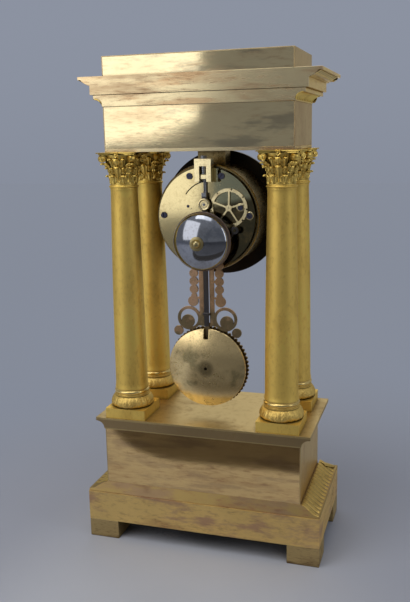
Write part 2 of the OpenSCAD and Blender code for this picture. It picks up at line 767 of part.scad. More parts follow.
// Holes that both plates share
module plate_holes() {
    for (p = [inter_at, third_at, escape_at, second_at, pin_at, stop_at, fly_at])
        translate(p) circle(pivot_r + run);
    for (p = pillar_places) translate(p) circle(screw_hole_r);
}
module front_plate() {
    color(plate_brass) {
        difference() {
            layer(front_out, front_in) difference() {
                circle(plate_r);
                plate_holes();
                circle(centre_arbor_r + run);
                translate([0, swing_up]) circle(pivot_r + run);
                for (p = [going_at, strike_at]) translate(p) circle(wind_r + run);
                for (p = ledge_screw_places) translate(p) circle(ledge_screw_r);
            }
        }
        rod(minute_at, stud_r, hour_wheel_y - 2, front_out);
    }
}
module back_plate() {
    slit_r = 30;
    slit_w = 1.1;
    slit_at = [-4, 6];
    notch = [3.4, 12];
    notch_at = [-15.4, 34.5];
    collar_r = 2.4;
    stud_end = 1.2;
    color(plate_brass) {
        layer(back_in, plate_back_y) difference() {
            circle(plate_r);
            plate_holes();
            circle(pivot_r + run);
            translate([0, swing_up]) circle(stud_r + run);
            for (p = [going_at, strike_at]) translate(p) circle(stud_r + run);
            intersection() {
                translate(slit_at) difference() {
                    circle(slit_r);
                    circle(slit_r - slit_w);
                }
                rotate(48) square([plate_r, plate_r / 2]);
            }
            translate(notch_at) square(notch);
        }
        rod(hammer_at, stud_r, plate_back_y - eps, hammer_y[1] + stud_end);
        rod(hammer_at, collar_r, plate_back_y - eps, hammer_y[0] - end_play);
    }
}
module plate_pillars() {
    color(plate_brass) for (p = pillar_places) {
        difference() {
            turned(p) polygon([[0, front_in], [pillar_r, front_in], [pillar_r, front_in + pillar_end],
                [pillar_waist, front_in + 1.5 * pillar_end], [pillar_waist, back_in - 1.5 * pillar_end],
                [pillar_r, back_in - pillar_end], [pillar_r, back_in], [0, back_in]]);
            for (y = [front_in, back_in]) rod(p, screw_hole_r, y - screw_depth, y + screw_depth);
        }
    }
}
module pillar_screws() {
    color(blued) {
        for (p = pillar_places) {
            rod(p, screw_hole_r, back_in - screw_depth, plate_back_y);
            rod(p, screw_head_r, plate_back_y, plate_back_y + screw_head_h);
            rod(p, screw_hole_r, front_out, front_in + screw_depth);
            rod(p, screw_head_r, front_out - screw_head_h, front_out);
        }
        for (p = ledge_screw_places) {
            rod(p, ledge_screw_r, front_out - ledge_t / 2, front_in);
            rod(p, ledge_head_r, front_in, front_in + screw_head_h);
        }
    }
}

// A spring barrel with its toothed rim at the back
module barrel(p, phase) {
    y0 = barrel_y[0];
    y1 = barrel_y[1];
    drum_r = barrel_pitch - 1.6;
    wall = 1.4;
    color(plate_brass) difference() {
        union() {
            rod(p, drum_r, y0, y1 - wheel_t + eps);
            layer(y1 - wheel_t, y1) translate(p) wheel_outline(barrel_teeth, barrel_pitch, phase);
        }
        rod(p, drum_r - wall, y0 + wall, y1 - wall);
        rod(p, wind_r + run, y0 - 1, y1 + 1);
    }
}
module winding_arbor(p) {
    color(steel) {
        rod(p, wind_r, front_out - 0.5, barrel_y[1] + 2);
        rod(p, stud_r, barrel_y[1] + 2 - eps, plate_back_y - 0.2);
        layer(front_out - 2.2, front_out - 0.5 + eps) translate(p)
            toothed(ratchet_teeth, ratchet_r - 1, 0, 0.9, 0.1, 1, 0.6);
        layer(wind_tip_y, front_out - 2) translate(p) square(wind_square, center = true);
    }
}
going_phase = 0;
inter_leaf_phase = mesh_phase(going_at, inter_at, barrel_teeth, going_phase, slow_leaves);
inter_phase = 0;
centre_leaf_phase = mesh_phase(inter_at, centre_at, inter_teeth, inter_phase, slow_leaves);
centre_phase = 0;
third_leaf_phase = mesh_phase(centre_at, third_at, centre_teeth, centre_phase, fast_leaves);
third_phase = 0;
escape_leaf_phase = mesh_phase(third_at, escape_at, third_teeth, third_phase, fast_leaves);
module going_barrel() {
    barrel(going_at, going_phase);
}
module going_arbor() {
    winding_arbor(going_at);
}
module intermediate_wheel() {
    color(plate_brass) {
        arbor(inter_at);
        layer(slow_y[0], slow_y[1]) translate(inter_at)
            pinion_outline(slow_leaves, slow_pinion_r, inter_leaf_phase);
        spoked_wheel(inter_at, low_y, inter_teeth, inter_pitch, inter_phase);
    }
}
module centre_wheel() {
    color(plate_brass) {
        rod(centre_at, centre_arbor_r, dial_front - 4, back_in - 0.3);
        rod(centre_at, pivot_r, back_in - 0.4, plate_back_y - 0.3);
        pinion(centre_at, low_y + wheel_t / 2, slow_leaves, centre_pinion_r, centre_leaf_phase);
        spoked_wheel(centre_at, mid_y, centre_teeth, centre_pitch, centre_phase);
    }
}
module third_wheel() {
    color(plate_brass) {
        arbor(third_at, 0.7);
        pinion(third_at, mid_y + wheel_t / 2, fast_leaves, third_pinion_r, third_leaf_phase);
        spoked_wheel(third_at, high_y, third_teeth, third_pitch, third_phase);
    }
}
module escape_wheel() {
    step = 360 / escape_teeth;
    color(plate_brass) {
        arbor(escape_at, 0.7);
        pinion(escape_at, high_y + wheel_t / 2, fast_leaves, escape_pinion_r, escape_leaf_phase);
        layer(escape_y, escape_y + wheel_t) translate(escape_at) difference() {
            polygon([for (i = [0:escape_teeth - 1], k = [[0, 2.1], [0.62, 0], [0.72, 0], [0.86, 2.1]])
                (escape_r - k[1]) * [cos(step * (i + k[0])), sin(step * (i + k[0]))]]);
            crossing(escape_r - 3.6, 2.2, 4, 1.2, 0);
        }
    }
}
// Anchor, arbor and crutch: the nibs stand just clear of the escape wheel's tips
module pallet_anchor() {
    hub = [0, swing_up];
    y0 = escape_y + (wheel_t - anchor_t) / 2;
    eye_drop = swing_z - eye_z;
    arm = [[0, 2.6], [5.2, -0.4], [9.6, -4.6], [9.9, -6.2], [8.5, -6.7], [8, -4.8], [4.4, -2], [0, -1.4]];
    left = [for (i = [len(arm) - 2:-1:1]) [-arm[i].x, arm[i].y]];
    color(steel) {
        rod(hub, 1, front_in + 0.3, back_in - 0.3);
        rod(hub, pivot_r, front_out + 0.3, front_in + 0.4);
        rod(hub, stud_r, back_in - 0.4, crutch_y[1]);
        layer(y0, y0 + anchor_t) translate(hub) polygon(concat(arm, left));
        rod(hub, 2.6, crutch_y[0], crutch_y[1]);
        layer(crutch_y[0], crutch_y[1]) translate(hub) translate([-1.3, -eye_drop]) square([2.6, eye_drop]);
        rod(hub - [0, eye_drop], 1.9, crutch_y[0], crutch_y[1]);
        rod(hub - [0, eye_drop], crutch_pin_r, crutch_y[0], rod_back + 1.5);
    }
}

strike_phase = 0;
second_leaf_phase = mesh_phase(strike_at, second_at, barrel_teeth, strike_phase, slow_leaves);
second_phase = 0;
pin_leaf_phase = mesh_phase(second_at, pin_at, second_teeth, second_phase, fast_leaves);
pin_phase = 0;
stop_leaf_phase = mesh_phase(pin_at, stop_at, pin_teeth, pin_phase, fast_leaves);
stop_phase = 0;
fly_leaf_phase = mesh_phase(stop_at, fly_at, stop_teeth, stop_phase, fast_leaves);
module strike_barrel() {
    barrel(strike_at, strike_phase);
}
module strike_arbor() {
    winding_arbor(strike_at);
}
module strike_second_wheel() {
    color(plate_brass) {
        arbor(second_at);
        layer(slow_y[0], slow_y[1]) translate(second_at)
            pinion_outline(slow_leaves, slow_pinion_r, second_leaf_phase);
        spoked_wheel(second_at, low_y, second_teeth, second_pitch, second_phase);
        rod(second_at, pivot_r, plate_back_y - 0.4, count_y + wheel_t);
    }
}
// Count wheel on the second wheel's long pivot, with a notch after each hour's blows
module count_wheel() {
    blows = 12 * 13 / 2 + 12;
    function stop_after(hour) = hour * (hour + 1) / 2 + hour;
    color(plate_brass) layer(count_y, count_y + wheel_t) translate(second_at) difference() {
        circle(count_r);
        for (hour = [1:count_notches]) rotate(-360 * stop_after(hour) / blows)
            translate([count_r - 1.6, -0.7]) square([3, 1.4]);
        crossing(count_r - 3, 3, 5, 1.6, 20);
        circle(pivot_r);
    }
}
module pin_wheel() {
    color(plate_brass) {
        arbor(pin_at, 0.7);
        pinion(pin_at, low_y + wheel_t / 2, fast_leaves, pin_pinion_r, pin_leaf_phase);
        spoked_wheel(pin_at, mid_y, pin_teeth, pin_pitch, pin_phase);
        for (i = [0:pin_count - 1])
            rod(step_to(pin_at, 360 / pin_count * i, pin_pitch - 1.7), 0.45, mid_y, mid_y + wheel_t + 2.2);
    }
}
module stop_wheel() {
    color(plate_brass) {
        arbor(stop_at, 0.7);
        pinion(stop_at, mid_y + wheel_t / 2, fast_leaves, stop_pinion_r, stop_leaf_phase);
        spoked_wheel(stop_at, high_y, stop_teeth, stop_pitch, stop_phase);
    }
}
module fly() {
    color(plate_brass) {
        arbor(fly_at, 0.7);
        pinion(fly_at, high_y + wheel_t / 2, fast_leaves, fly_pinion_r, fly_leaf_phase);
        layer(front_in + 3, low_y - 1.5) translate(fly_at) {
            translate([-fly_half, -0.3]) square([2 * fly_half, 0.6]);
            circle(1.3);
        }
    }
}
module hammer() {
    reach = norm(hammer_head - hammer_at);
    color(steel) difference() {
        union() {
            rod(hammer_at, 3.6, hammer_y[0], hammer_y[1]);
            layer(hammer_y[0], hammer_y[1]) translate(hammer_at) rotate(angle_to(hammer_at, hammer_head))
                translate([0, -1.1]) square([reach, 2.2]);
            rod(hammer_head, head_r, hammer_y[0], bell_y + 3.2);
        }
        rod(hammer_at, stud_r + run, hammer_y[0] - 1, hammer_y[1] + 1);
    }
}
module bell() {
    centre = bell_y + bell_h - bell_sphere_r;
    color(silvered) turned(bell_at) intersection() {
        translate([0, centre]) difference() {
            circle(bell_sphere_r, $fn = 128);
            circle(bell_sphere_r - bell_wall, $fn = 128);
        }
        translate([bell_hole_r, bell_y]) square([bell_r + 1, bell_h + 1]);
    }
}
module bell_stand() {
    reach = norm(bell_at - stand_at);
    color(plate_brass) {
        rod(stand_at, stand_r, plate_back_y, stand_y[1]);
        rod(stand_at, stand_r + 1.5, plate_back_y, plate_back_y + 2);
        layer(stand_y[0], stand_y[1]) translate(stand_at) rotate(angle_to(stand_at, bell_at))
            translate([0, -stand_r]) square([reach, 2 * stand_r]);
        rod(bell_at, 3.6, stand_y[0], bell_y + bell_h - bell_wall - 0.3);
        rod(bell_at, bell_hole_r - 0.3, stand_y[0], bell_y + bell_h + 5);
    }
}
module bell_nut() {
    top = bell_y + bell_h;
    color(old_brass) difference() {
        turned(bell_at) {
            translate([0, top]) square([6.8, 1.4]);
            intersection() {
                translate([0, top + 1.4]) circle(4.4);
                translate([0, top + 1.3]) square([5, 5]);
            }
        }
        rod(bell_at, bell_hole_r - 0.25, top - 1, top + 5.05);
    }
}

// Cock on the back plate: two cheeks, a bridge for the rating screw and a bar that grips the spring
module suspension_cock() {
    low = swing_up - 2;
    bridge = swing_up + 12.5;
    top = swing_up + 19.5;
    color(plate_brass) difference() {
        union() {
            layer(cock_y[0], cock_y[1]) difference() {
                translate([-cock_half, low]) square([2 * cock_half, top - low]);
                translate([-cock_slot, low - 1]) square([2 * cock_slot, bridge - low + 1]);
            }
            layer(screw_y - 1.6, screw_y + 1.6)
                translate([-cock_slot - eps, swing_up + 0.5]) square([2 * cock_slot + 2 * eps, 4]);
        }
        upright([0, screw_y], screw_r + run, move_z + bridge - 1, move_z + top + 1);
    }
}
module rating_screw() {
    bar_top = swing_z + 4.5;
    cock_top = swing_z + 19.5;
    color(steel) {
        upright([0, screw_y], screw_r, bar_top + 0.3, cock_top + 2);
        for (z = [bar_top + 0.8:1.8:bar_top + 6.5]) upright([0, screw_y], screw_r + 0.7, z, z + 1);
        difference() {
            upright([0, screw_y], 3.2, cock_top + 0.3, cock_top + 2.8);
            translate([-4, screw_y - 0.5, cock_top + 1.8]) cube([8, 1, 2]);
        }
    }
}
module suspension_spring() {
    color(steel) {
        translate([-spring_t / 2, screw_y - 1.5, swing_z - spring_l]) cube([spring_t, 3, spring_l + 0.2]);
        translate([-2.2, screw_y - 2, swing_z - spring_l - chop_h + 0.5]) cube([4.4, 4, chop_h]);
    }
}
module pendulum_rod() {
    top = swing_z - spring_l - chop_h + 0.5;
    cross_pin = [1.2, 53.2, 2.2];
    color(steel) difference() {
        union() {
            translate([-rod_w / 2, rod_y, bob_z + neck_z[0]]) cube([rod_w, fret_t, top - bob_z - neck_z[0]]);
            translate([0, 0, -move_z]) rod([0, eye_z], eye_r, rod_y, rod_back + 0.5);
            translate([-rod_w / 2 - cross_pin[0], rod_y, bob_z + cross_pin[1]])
                cube([rod_w + 2 * cross_pin[0], fret_t + 0.6, cross_pin[2]]);
        }
        translate([0, 0, -move_z]) rod([0, eye_z], crutch_pin_r + 0.2, rod_y - 1, rod_back + 2);
    }
}
// One side of the fretted plate: a bar, a string of beads, a scroll with its disc and an end bead
module fret_side() {
    beads = 5;
    bead_step = 8;
    bead_z = 78.5;
    bulb = [bead_x + 1, 66.6, 5.3];
    knot = [bead_x, 72, 3];
    disc = [scroll_at.x + 1.4, scroll_at.y - 3.4, 6.8];
    ball = [scroll_at.x + 11.4, scroll_at.y - 13.2, 4.8];
    tie_w = 2;
    tie_z = [69, 85.5];
    translate([fret_bar[0], neck_z[0]]) square([fret_bar[1] - fret_bar[0], fret_top - neck_z[0]]);
    for (i = [0:beads - 1]) translate([bead_x, bead_z + bead_step * i]) circle(bead_r);
    translate(scroll_at) difference() {
        circle(scroll_r);
        circle(scroll_in_r);
    }
    for (c = [bulb, knot, disc, ball]) translate([c.x, c.y]) circle(c.z);
    for (z = tie_z) translate([fret_bar[1] - 0.5, z]) square([bead_x - fret_bar[1], tie_w]);
}
module pendulum_fret() {
    neck_half = 10;
    top_h = 3;
    tail_z = bob_r - 11.5;
    color("#b98a55") translate([0, 0, bob_z]) slab(fret_y, rod_y) {
        fret_side();
        mirror([1, 0]) fret_side();
        translate([-neck_half, neck_z[0]]) square([2 * neck_half, neck_z[1] - neck_z[0]]);
        translate([-fret_bar[1], fret_top - top_h]) square([2 * fret_bar[1], top_h]);
        translate([-rod_w / 2, tail_z]) square([rod_w, neck_z[0] - tail_z + eps]);
    }
}
bob_sphere_r = (bob_r * bob_r + bob_rise * bob_rise) / (2 * bob_rise);
bob_hole_r = 1.6;
tail_gap = 0.1;
module pendulum_bob() {
    edge = 2.4;
    notch_h = 10;
    color(panel_brass) translate([0, 0, bob_z - move_z]) difference() {
        union() {
            turned() translate([0, bob_y]) square([bob_r, edge]);
            turned() intersection() {
                translate([0, bob_y + edge + bob_rise - bob_sphere_r]) circle(bob_sphere_r, $fn = 256);
                translate([0, bob_y + edge - eps]) square([bob_r, bob_rise + 1]);
            }
        }
        rod([0, 0], bob_hole_r, bob_y - 1, bob_y + edge + bob_rise + 1);
        layer(bob_y - 1, bob_y + edge + bob_rise) translate([-rod_w / 2 - tail_gap, bob_r - notch_h])
            square([rod_w + 2 * tail_gap, notch_h + 1]);
    }
}
module bob_rim() {
    leaves = 60;
    leaf_h = 0.8;
    back_y = fret_y - 1.5;
    y0 = back_y - 2.5;
    boss = [9, y0 - 4];
    dish = [12, bob_r - 15.5, y0 - 1.5];
    ring = [bob_r - 11.5, bob_r - 6.5, y0 - 3.2];
    edge_r = bob_r - 3.5;
    tail_h = 12;
    color(gilt) translate([0, 0, bob_z - move_z]) difference() {
        union() {
            layer(y0, back_y) toothed(leaves, rim_r - leaf_h, 3, 0.95, 0.35, leaf_h, leaf_h);
            layer(back_y - eps, bob_y) circle(bob_r - 0.5);
            turned() polygon([[0, boss.y], boss, [dish[0], dish[2]], [dish[1], dish[2]],
                [ring[0], ring[2]], [ring[1], ring[2]], [edge_r, y0], [0, y0]]);
        }
        rod([0, 0], bob_hole_r, boss.y - 1, bob_y + 1);
        layer(fret_y - tail_gap, bob_y + 1) translate([-rod_w / 2 - tail_gap, bob_r - tail_h])
            square([rod_w + 2 * tail_gap, tail_h + rim_reach + 1]);
    }
}

hand_lift = 0.9;
hour_hand_y = dial_front - hand_lift - 1;
minute_hand_y = hour_hand_y - 1.6;
hand_t = 0.8;
hour_short = 21.5;
minute_short = 7.5;
minute_angle = 60;
hour_angle = 305;
// A pointed hand with an open ring near its tip, drawn upwards
module hand_outline(length, hub, wide, ring) {
    at = length * 0.68;
    difference() {
        union() {
            circle(hub);
            polygon([[-wide, 0], [wide, 0], [wide * 0.55, at], [-wide * 0.55, at]]);
            translate([0, at]) circle(ring);
            polygon([[-wide * 0.7, at + ring * 0.7], [wide * 0.7, at + ring * 0.7],
                [0.2, length], [-0.2, length]]);
        }
        translate([0, at + ring * 0.18]) circle(ring * 0.6);
    }
}
cannon_y = [front_out - 3.8, front_out - 1.8];
hour_wheel_y = front_out - 7.2;
module minute_wheel() {
    wheel_phase = mesh_phase(centre_at, minute_at, cannon_leaves, 0, minute_teeth);
    color(plate_brass) difference() {
        union() {
            spoked_wheel(minute_at, cannon_y[0] + 0.4, minute_teeth, minute_pitch, wheel_phase);
            layer(hour_wheel_y - 0.6, cannon_y[0] + 0.5) translate(minute_at)
                pinion_outline(minute_leaves, minute_pinion_r, minute_leaf_phase);
        }
        rod(minute_at, stud_r + run, hour_wheel_y - 2, front_out);
    }
}
minute_leaf_phase = 0;
module hour_wheel() {
    phase = mesh_phase(minute_at, centre_at, minute_leaves, minute_leaf_phase, hour_teeth);
    color(plate_brass) difference() {
        union() {
            spoked_wheel(centre_at, hour_wheel_y, hour_teeth, hour_pitch, phase);
            layer(hour_wheel_y, hour_wheel_y + wheel_t) circle(hour_pipe_r + 1.4);
            rod(centre_at, hour_pipe_r, hour_hand_y, hour_wheel_y + wheel_t);
        }
        rod(centre_at, cannon_r + run, hour_hand_y - 1, hour_wheel_y + wheel_t + 1);
    }
}
module hour_hand() {
    color(blued) layer(hour_hand_y, hour_hand_y + hand_t) rotate(-hour_angle) difference() {
        hand_outline(dial_r - hour_short, hour_pipe_r + 1.6, 1.3, 4);
        circle(hour_pipe_r + eps);
    }
}
module cannon_pinion() {
    color(steel) difference() {
        union() {
            layer(cannon_y[0], cannon_y[1]) pinion_outline(cannon_leaves, cannon_pitch, 0);
            rod(centre_at, cannon_r, minute_hand_y, cannon_y[0] + eps);
        }
        rod(centre_at, centre_arbor_r + run, minute_hand_y - 1, cannon_y[1] + 1);
    }
}
module minute_hand() {
    color(blued) layer(minute_hand_y, minute_hand_y + hand_t) rotate(-minute_angle) difference() {
        hand_outline(dial_r - minute_short, cannon_r + 1.6, 1.1, 3.6);
        circle(cannon_r + eps);
    }
}
dial_lap = 1.3;
dial_r = bezel_in_r + dial_lap;
module dial() {
    color(enamel) layer(dial_front, flange_front) difference() {
        circle(dial_r);
        circle(hour_pipe_r + 0.8);
        for (p = [going_at, strike_at]) translate(p) circle(wind_hole_r);
    }
}
bezel_gap = 0.2;
bezel_front = flange_front - bezel_gap - bezel_d;
glass_seat = bezel_front + 1.8;
module bezel() {
    back = dial_front - bezel_gap;
    rim_back = flange_front - 0.3;
    seat_r = dial_r + 0.4;
    wall = 0.5;
    lip = bezel_in_r + 2;
    cove = [bezel_in_r + 5.5, bezel_front + 2.4];
    bead = [bezel_in_r + 6, bezel_r - 3.2, bezel_front + 1.6];
    edge_y = bezel_front + 4.6;
    color(gilt) difference() {
        union() {
            turned() polygon(concat(
                [[bezel_in_r, glass_seat], [bezel_in_r, bezel_front], [lip, bezel_front]],
                hollow([lip, bezel_front], cove), [[bead[0], bead[2]], [bead[1], bead[2]]],
                hollow([bead[1], bead[2]], [bezel_r, edge_y]),
                [[bezel_r, rim_back], [seat_r + wall, rim_back], [seat_r + wall, back], [seat_r, back],
                [seat_r, glass_seat]]));
            translate([hinge_at.x, hinge_at.y, move_z - knuckle_h / 2]) cylinder(r = hinge_r, h = knuckle_h);
            translate([bezel_r - hinge_r, hinge_at.y - hinge_r, move_z - knuckle_h / 2])
                cube([hinge_at.x - bezel_r + hinge_r, hinge_r, knuckle_h]);
        }
        translate([hinge_at.x, hinge_at.y, move_z - knuckle_h])
            cylinder(r = hinge_pin_r + run, h = 2 * knuckle_h);
    }
}
module glass() {
    r = dial_r + 0.2;
    sphere_r = (r * r + glass_rise * glass_rise) / (2 * glass_rise);
    color("#dfe8ea", 0.35) turned() intersection() {
        translate([0, glass_seat + glass_t - glass_rise + sphere_r]) difference() {
            circle(sphere_r, $fn = 512);
            circle(sphere_r - glass_t, $fn = 512);
        }
        translate([0, glass_seat - 20]) square([r, 20 + glass_t]);
    }
}
module hinge_pin() {
    span = 3 * knuckle_h + 2 * knuckle_gap;
    color(old_brass) {
        translate([hinge_at.x, hinge_at.y, move_z - span / 2]) cylinder(r = hinge_pin_r, h = span);
        for (side = [0, 1]) translate([hinge_at.x, hinge_at.y, move_z + (side - 0.5) * span - (1 - side)])
            cylinder(r = hinge_pin_r + 0.6, h = 1);
    }
}

in_place() feet();
in_place() plinth();
in_place() plinth_moulding();
in_place() die_case();
in_place() die_back_panel();
in_place() base_cap();
in_place() column_bases();
in_place() column_shafts();
in_place() column_capitals();
in_place() tie_rods();
in_place() tie_rod_nuts();
in_place() soffit_plate();
in_place() frieze_case();
in_place() frieze_back_panel();
in_place() bed_moulding();
in_place() cornice();
in_place() attic_case();
in_place() attic_back_panel();
in_place() drum();
in_place() dial_flange();
in_place() hanger_bracket();
in_place() hanger_screws();
in_place() front_plate();
in_place() back_plate();
in_place() plate_pillars();
in_place() pillar_screws();
in_place() going_barrel();
in_place() going_arbor();
in_place() intermediate_wheel();
in_place() centre_wheel();
in_place() third_wheel();
in_place() escape_wheel();
in_place() pallet_anchor();
in_place() strike_barrel();
in_place() strike_arbor();
in_place() strike_second_wheel();
in_place() count_wheel();
in_place() pin_wheel();
in_place() stop_wheel();
in_place() fly();
in_place() hammer();
in_place() bell();
in_place() bell_stand();
in_place() bell_nut();
in_place() suspension_cock();
in_place() rating_screw();
in_place() suspension_spring();
in_place() pendulum_rod();
in_place() pendulum_fret();
in_place() pendulum_bob();
in_place() bob_rim();
in_place() minute_wheel();
in_place() hour_wheel();
in_place() hour_hand();
in_place() cannon_pinion();
in_place() minute_hand();
in_place() dial();
in_place() bezel();
in_place() glass();
in_place() hinge_pin();
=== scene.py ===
"""Looks of the portico clock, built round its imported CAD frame."""

import json
import math

import bmesh
import bpy
from mathutils import Matrix, Vector

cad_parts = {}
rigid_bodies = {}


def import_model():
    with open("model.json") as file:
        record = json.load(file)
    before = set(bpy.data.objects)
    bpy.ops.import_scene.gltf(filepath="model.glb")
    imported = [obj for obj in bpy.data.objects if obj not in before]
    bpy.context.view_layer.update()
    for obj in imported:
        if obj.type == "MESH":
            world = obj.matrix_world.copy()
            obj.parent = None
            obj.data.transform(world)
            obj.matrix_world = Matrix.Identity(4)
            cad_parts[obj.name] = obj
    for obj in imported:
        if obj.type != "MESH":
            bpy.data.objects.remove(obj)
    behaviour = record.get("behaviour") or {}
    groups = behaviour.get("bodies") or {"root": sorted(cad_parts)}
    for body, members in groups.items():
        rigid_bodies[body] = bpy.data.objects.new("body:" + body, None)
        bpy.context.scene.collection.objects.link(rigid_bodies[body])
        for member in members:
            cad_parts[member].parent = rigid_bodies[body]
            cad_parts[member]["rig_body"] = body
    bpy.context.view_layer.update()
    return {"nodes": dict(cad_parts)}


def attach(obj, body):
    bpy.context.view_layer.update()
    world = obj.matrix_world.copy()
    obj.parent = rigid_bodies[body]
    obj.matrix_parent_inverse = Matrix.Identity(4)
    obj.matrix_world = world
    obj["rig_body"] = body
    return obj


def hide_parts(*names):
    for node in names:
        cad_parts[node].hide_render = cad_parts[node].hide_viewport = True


bl_info = {
    "name": "Portico clock",
    "version": (1, 0, 0),
    "blender": (4, 5, 0),
    "location": "3D View > Sidebar > Clock",
    "description": "Builds the gilt portico clock round its CAD frame",
    "category": "Object",
}

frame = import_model()
MM = 0.001
TURN = 2 * math.pi
HERE = Matrix()

# Places that the CAD frame fixes, in millimetres. Depths count from the column line towards the back.
PLATE_BACK = 17.0  # outer face of the back plate
PLATE_FRONT = -27.0  # outer face of the front plate
DRUM_LEDGE = -24.5  # back face of the drum's ledge, which the movement is screwed to
PILLAR_CIRCLE = 43.1  # radius on which the plate pillars stand
LEDGE_CIRCLE = 47.3  # radius on which the ledge's screws stand
BELL_DROP = 21.0  # bell's axis below the movement's
BELL_MOUTH = 31.2  # depth of the bell's mouth
BELL_TALL = 17.5  # bell from its mouth to its top
EYE_HEIGHT = 341.9  # height of the eye of the pendulum rod
EYE_DEPTH = 23.5  # depth of the eye's back face
DIAL_FACE = -44.5  # depth of the dial's front
BEAD_SEAT = -50.3  # depth of the flat that carries the bezel's beads
GLASS_SEAT = 50.1  # bezel's seat for the glass, before the column line
SLOPE_START = (100, 43.5)  # upper edge of the slope: half width, and front before the column line
FRIEZE_HALF = (91.25, 44)  # frieze: half width, and front before the column line
ROW_END = 46.0  # depth where the leaf rows of the sides end

# Leaf rows of the cornice and the bed moulding: half a leaf's width, its rise in front, pitch and counts.
CORNICE = {"half": 4.6, "rise": 1.5, "pitch": 11.4, "side": 9, "front": 20}
BED = {"half": 3.3, "rise": 1.2, "pitch": 8.4, "side": 11, "front": 23}
SIDE_RISE = 0.9  # rise of the leaves on the sides


def number(name, value, text, **more):
    """A number property."""
    return bpy.props.FloatProperty(name=name, description=text, default=value, **more)


def length(name, millimetres, text):
    """A length property, stored in metres."""
    return number(name, millimetres * MM, text, unit="LENGTH", precision=5)


def share(name, value, text):
    """A property from nought to one."""
    return number(name, value, text, min=0, max=1, subtype="FACTOR")


def colour(name, value, text):
    """A linear colour property."""
    return bpy.props.FloatVectorProperty(
        name=name, description=text, default=value, size=3, min=0, max=1, subtype="COLOR"
    )


class ClockSizes(bpy.types.PropertyGroup):
    """Sizes that the looks share with the CAD frame."""

    depth_shift: length("Depth shift", 4, "Column centre line behind the frame's origin")
    column_gap_x: length("Column gap across", 155, "Distance between column axes along the front")
    column_gap_y: length("Column gap deep", 67, "Distance between column axes along the depth")
    column_z: length("Column foot", 129.4, "Height of the base cap's top")
    shaft_z: length("Shaft foot", 158.6, "Height where the shaft starts")
    capital_z: length("Capital foot", 362.4, "Height where the capital starts")
    shaft_low: length("Shaft foot radius", 16.1, "Radius of the shaft at its foot")
    shaft_high: length("Shaft neck radius", 13, "Radius of the shaft at its neck")
    move_z: length("Movement height", 328.5, "Height of the movement's centre")
    bob_z: length("Bob height", 180.2, "Height of the bob's middle")


class ClockFinish(bpy.types.PropertyGroup):
    """Colours and roughness of the finishes."""

    gilt: colour("Gilt", (1.0, 0.72, 0.19), "Matte gilding of columns and mouldings")
    # Colour of dirt and of painted shade in the hollows of the gilding.
    gilt_dirt: colour("Gilt dirt", (0.09, 0.05, 0.01), "Dirt in the hollows of the gilding")
    panel: colour("Panel brass", (0.84, 0.71, 0.43), "Polished brass of the back panels")
    panel_stain: colour("Panel stain", (0.46, 0.28, 0.15), "Brown wiping stains on the panels")
    plinth: colour("Plinth gilt", (0.82, 0.58, 0.22), "Worn gilding of the plinth")
    plinth_stain: colour("Plinth stain", (0.36, 0.20, 0.11), "Pinkish brown stain on the plinth")
    movement: colour("Movement brass", (0.84, 0.71, 0.40), "Pale brass of the plates and wheels")
    drum: colour("Drum brass", (0.34, 0.26, 0.12), "Darkened brass of the drum")
    dark: colour("Dark bronze", (0.025, 0.021, 0.016), "Patinated flange")
    copper: colour("Fret brass", (0.60, 0.37, 0.20), "Coppery brass of the fretted plate")
    bell: colour("Bell metal", (0.36, 0.38, 0.43), "Polished grey bell metal")
    steel: colour("Steel", (0.40, 0.42, 0.46), "Ground steel")
    blued: colour("Blued steel", (0.12, 0.125, 0.18), "Blued screws and hands")
    enamel: colour("Enamel", (0.86, 0.84, 0.77), "White enamel of the dial")
    ink: colour("Dial paint", (0.012, 0.011, 0.010), "Black numerals")
    gilt_rough: share("Gilt roughness", 0.5, "Roughness of the matte gilding")
    panel_rough: share("Panel roughness", 0.05, "Roughness of the polished panels")


class ClockStage(bpy.types.PropertyGroup):
    """Floor, light and camera."""

    backdrop: colour("Backdrop", (0.262, 0.289, 0.356), "Grey blue behind the clock")
    floor: colour("Floor", (0.58, 0.60, 0.66), "Pale floor")
    key: number("Key light", 6.9, "Power of the large softbox", min=0)
    fill: number("Fill light", 1.2, "Power of the narrow softbox", min=0)
    top: number("Top light", 5.5, "Power of the softbox above", min=0)
    front: number("Front light", 2.6, "Power of the softbox before the dial", min=0)
    lens: number("Lens", 45.81, "Focal length on a 36 mm sensor", min=1)


def size_of(name):
    """One of the clock's sizes, in millimetres."""
    return getattr(bpy.context.scene.clock_sizes, name) / MM


def depth(place=0.0):
    """A depth from the column line as a depth in the frame, in millimetres."""
    return size_of("depth_shift") + place


def move(x, y, z):
    """A shift along the frame's axes."""
    return Matrix.Translation((x, y, z))


def turn(angle, axis="Z"):
    """A turn about one of the frame's axes."""
    return Matrix.Rotation(angle, 4, axis)


def to_back(x, z, y):
    """Places a piece made upright with its top towards the back."""
    return move(x, y, z) @ Matrix(((1, 0, 0), (0, 0, 1), (0, -1, 0))).to_4x4()


def to_front(x, z, y):
    """Places a piece made upright with its top towards the front."""
    return move(x, y, z) @ turn(math.pi / 2, "X")


def to_side(side):
    """Turns a piece that reaches out along +X so that it reaches out along one face."""
    return turn({"right": 0.0, "left": math.pi, "front": -math.pi / 2}[side])


def on_circle(radius, degrees):
    """The X and Z of a place on a circle about the movement's centre."""
    angle = math.radians(degrees)
    return radius * math.cos(angle), radius * math.sin(angle)


def half_round(radius, height, bulge, steps):
    """Profile of a half round bead, from its foot to its top."""
    angles = [-math.pi / 2 + math.pi * i / steps for i in range(steps + 1)]
    return [(radius + bulge * math.cos(a), height + bulge * math.sin(a)) for a in angles]


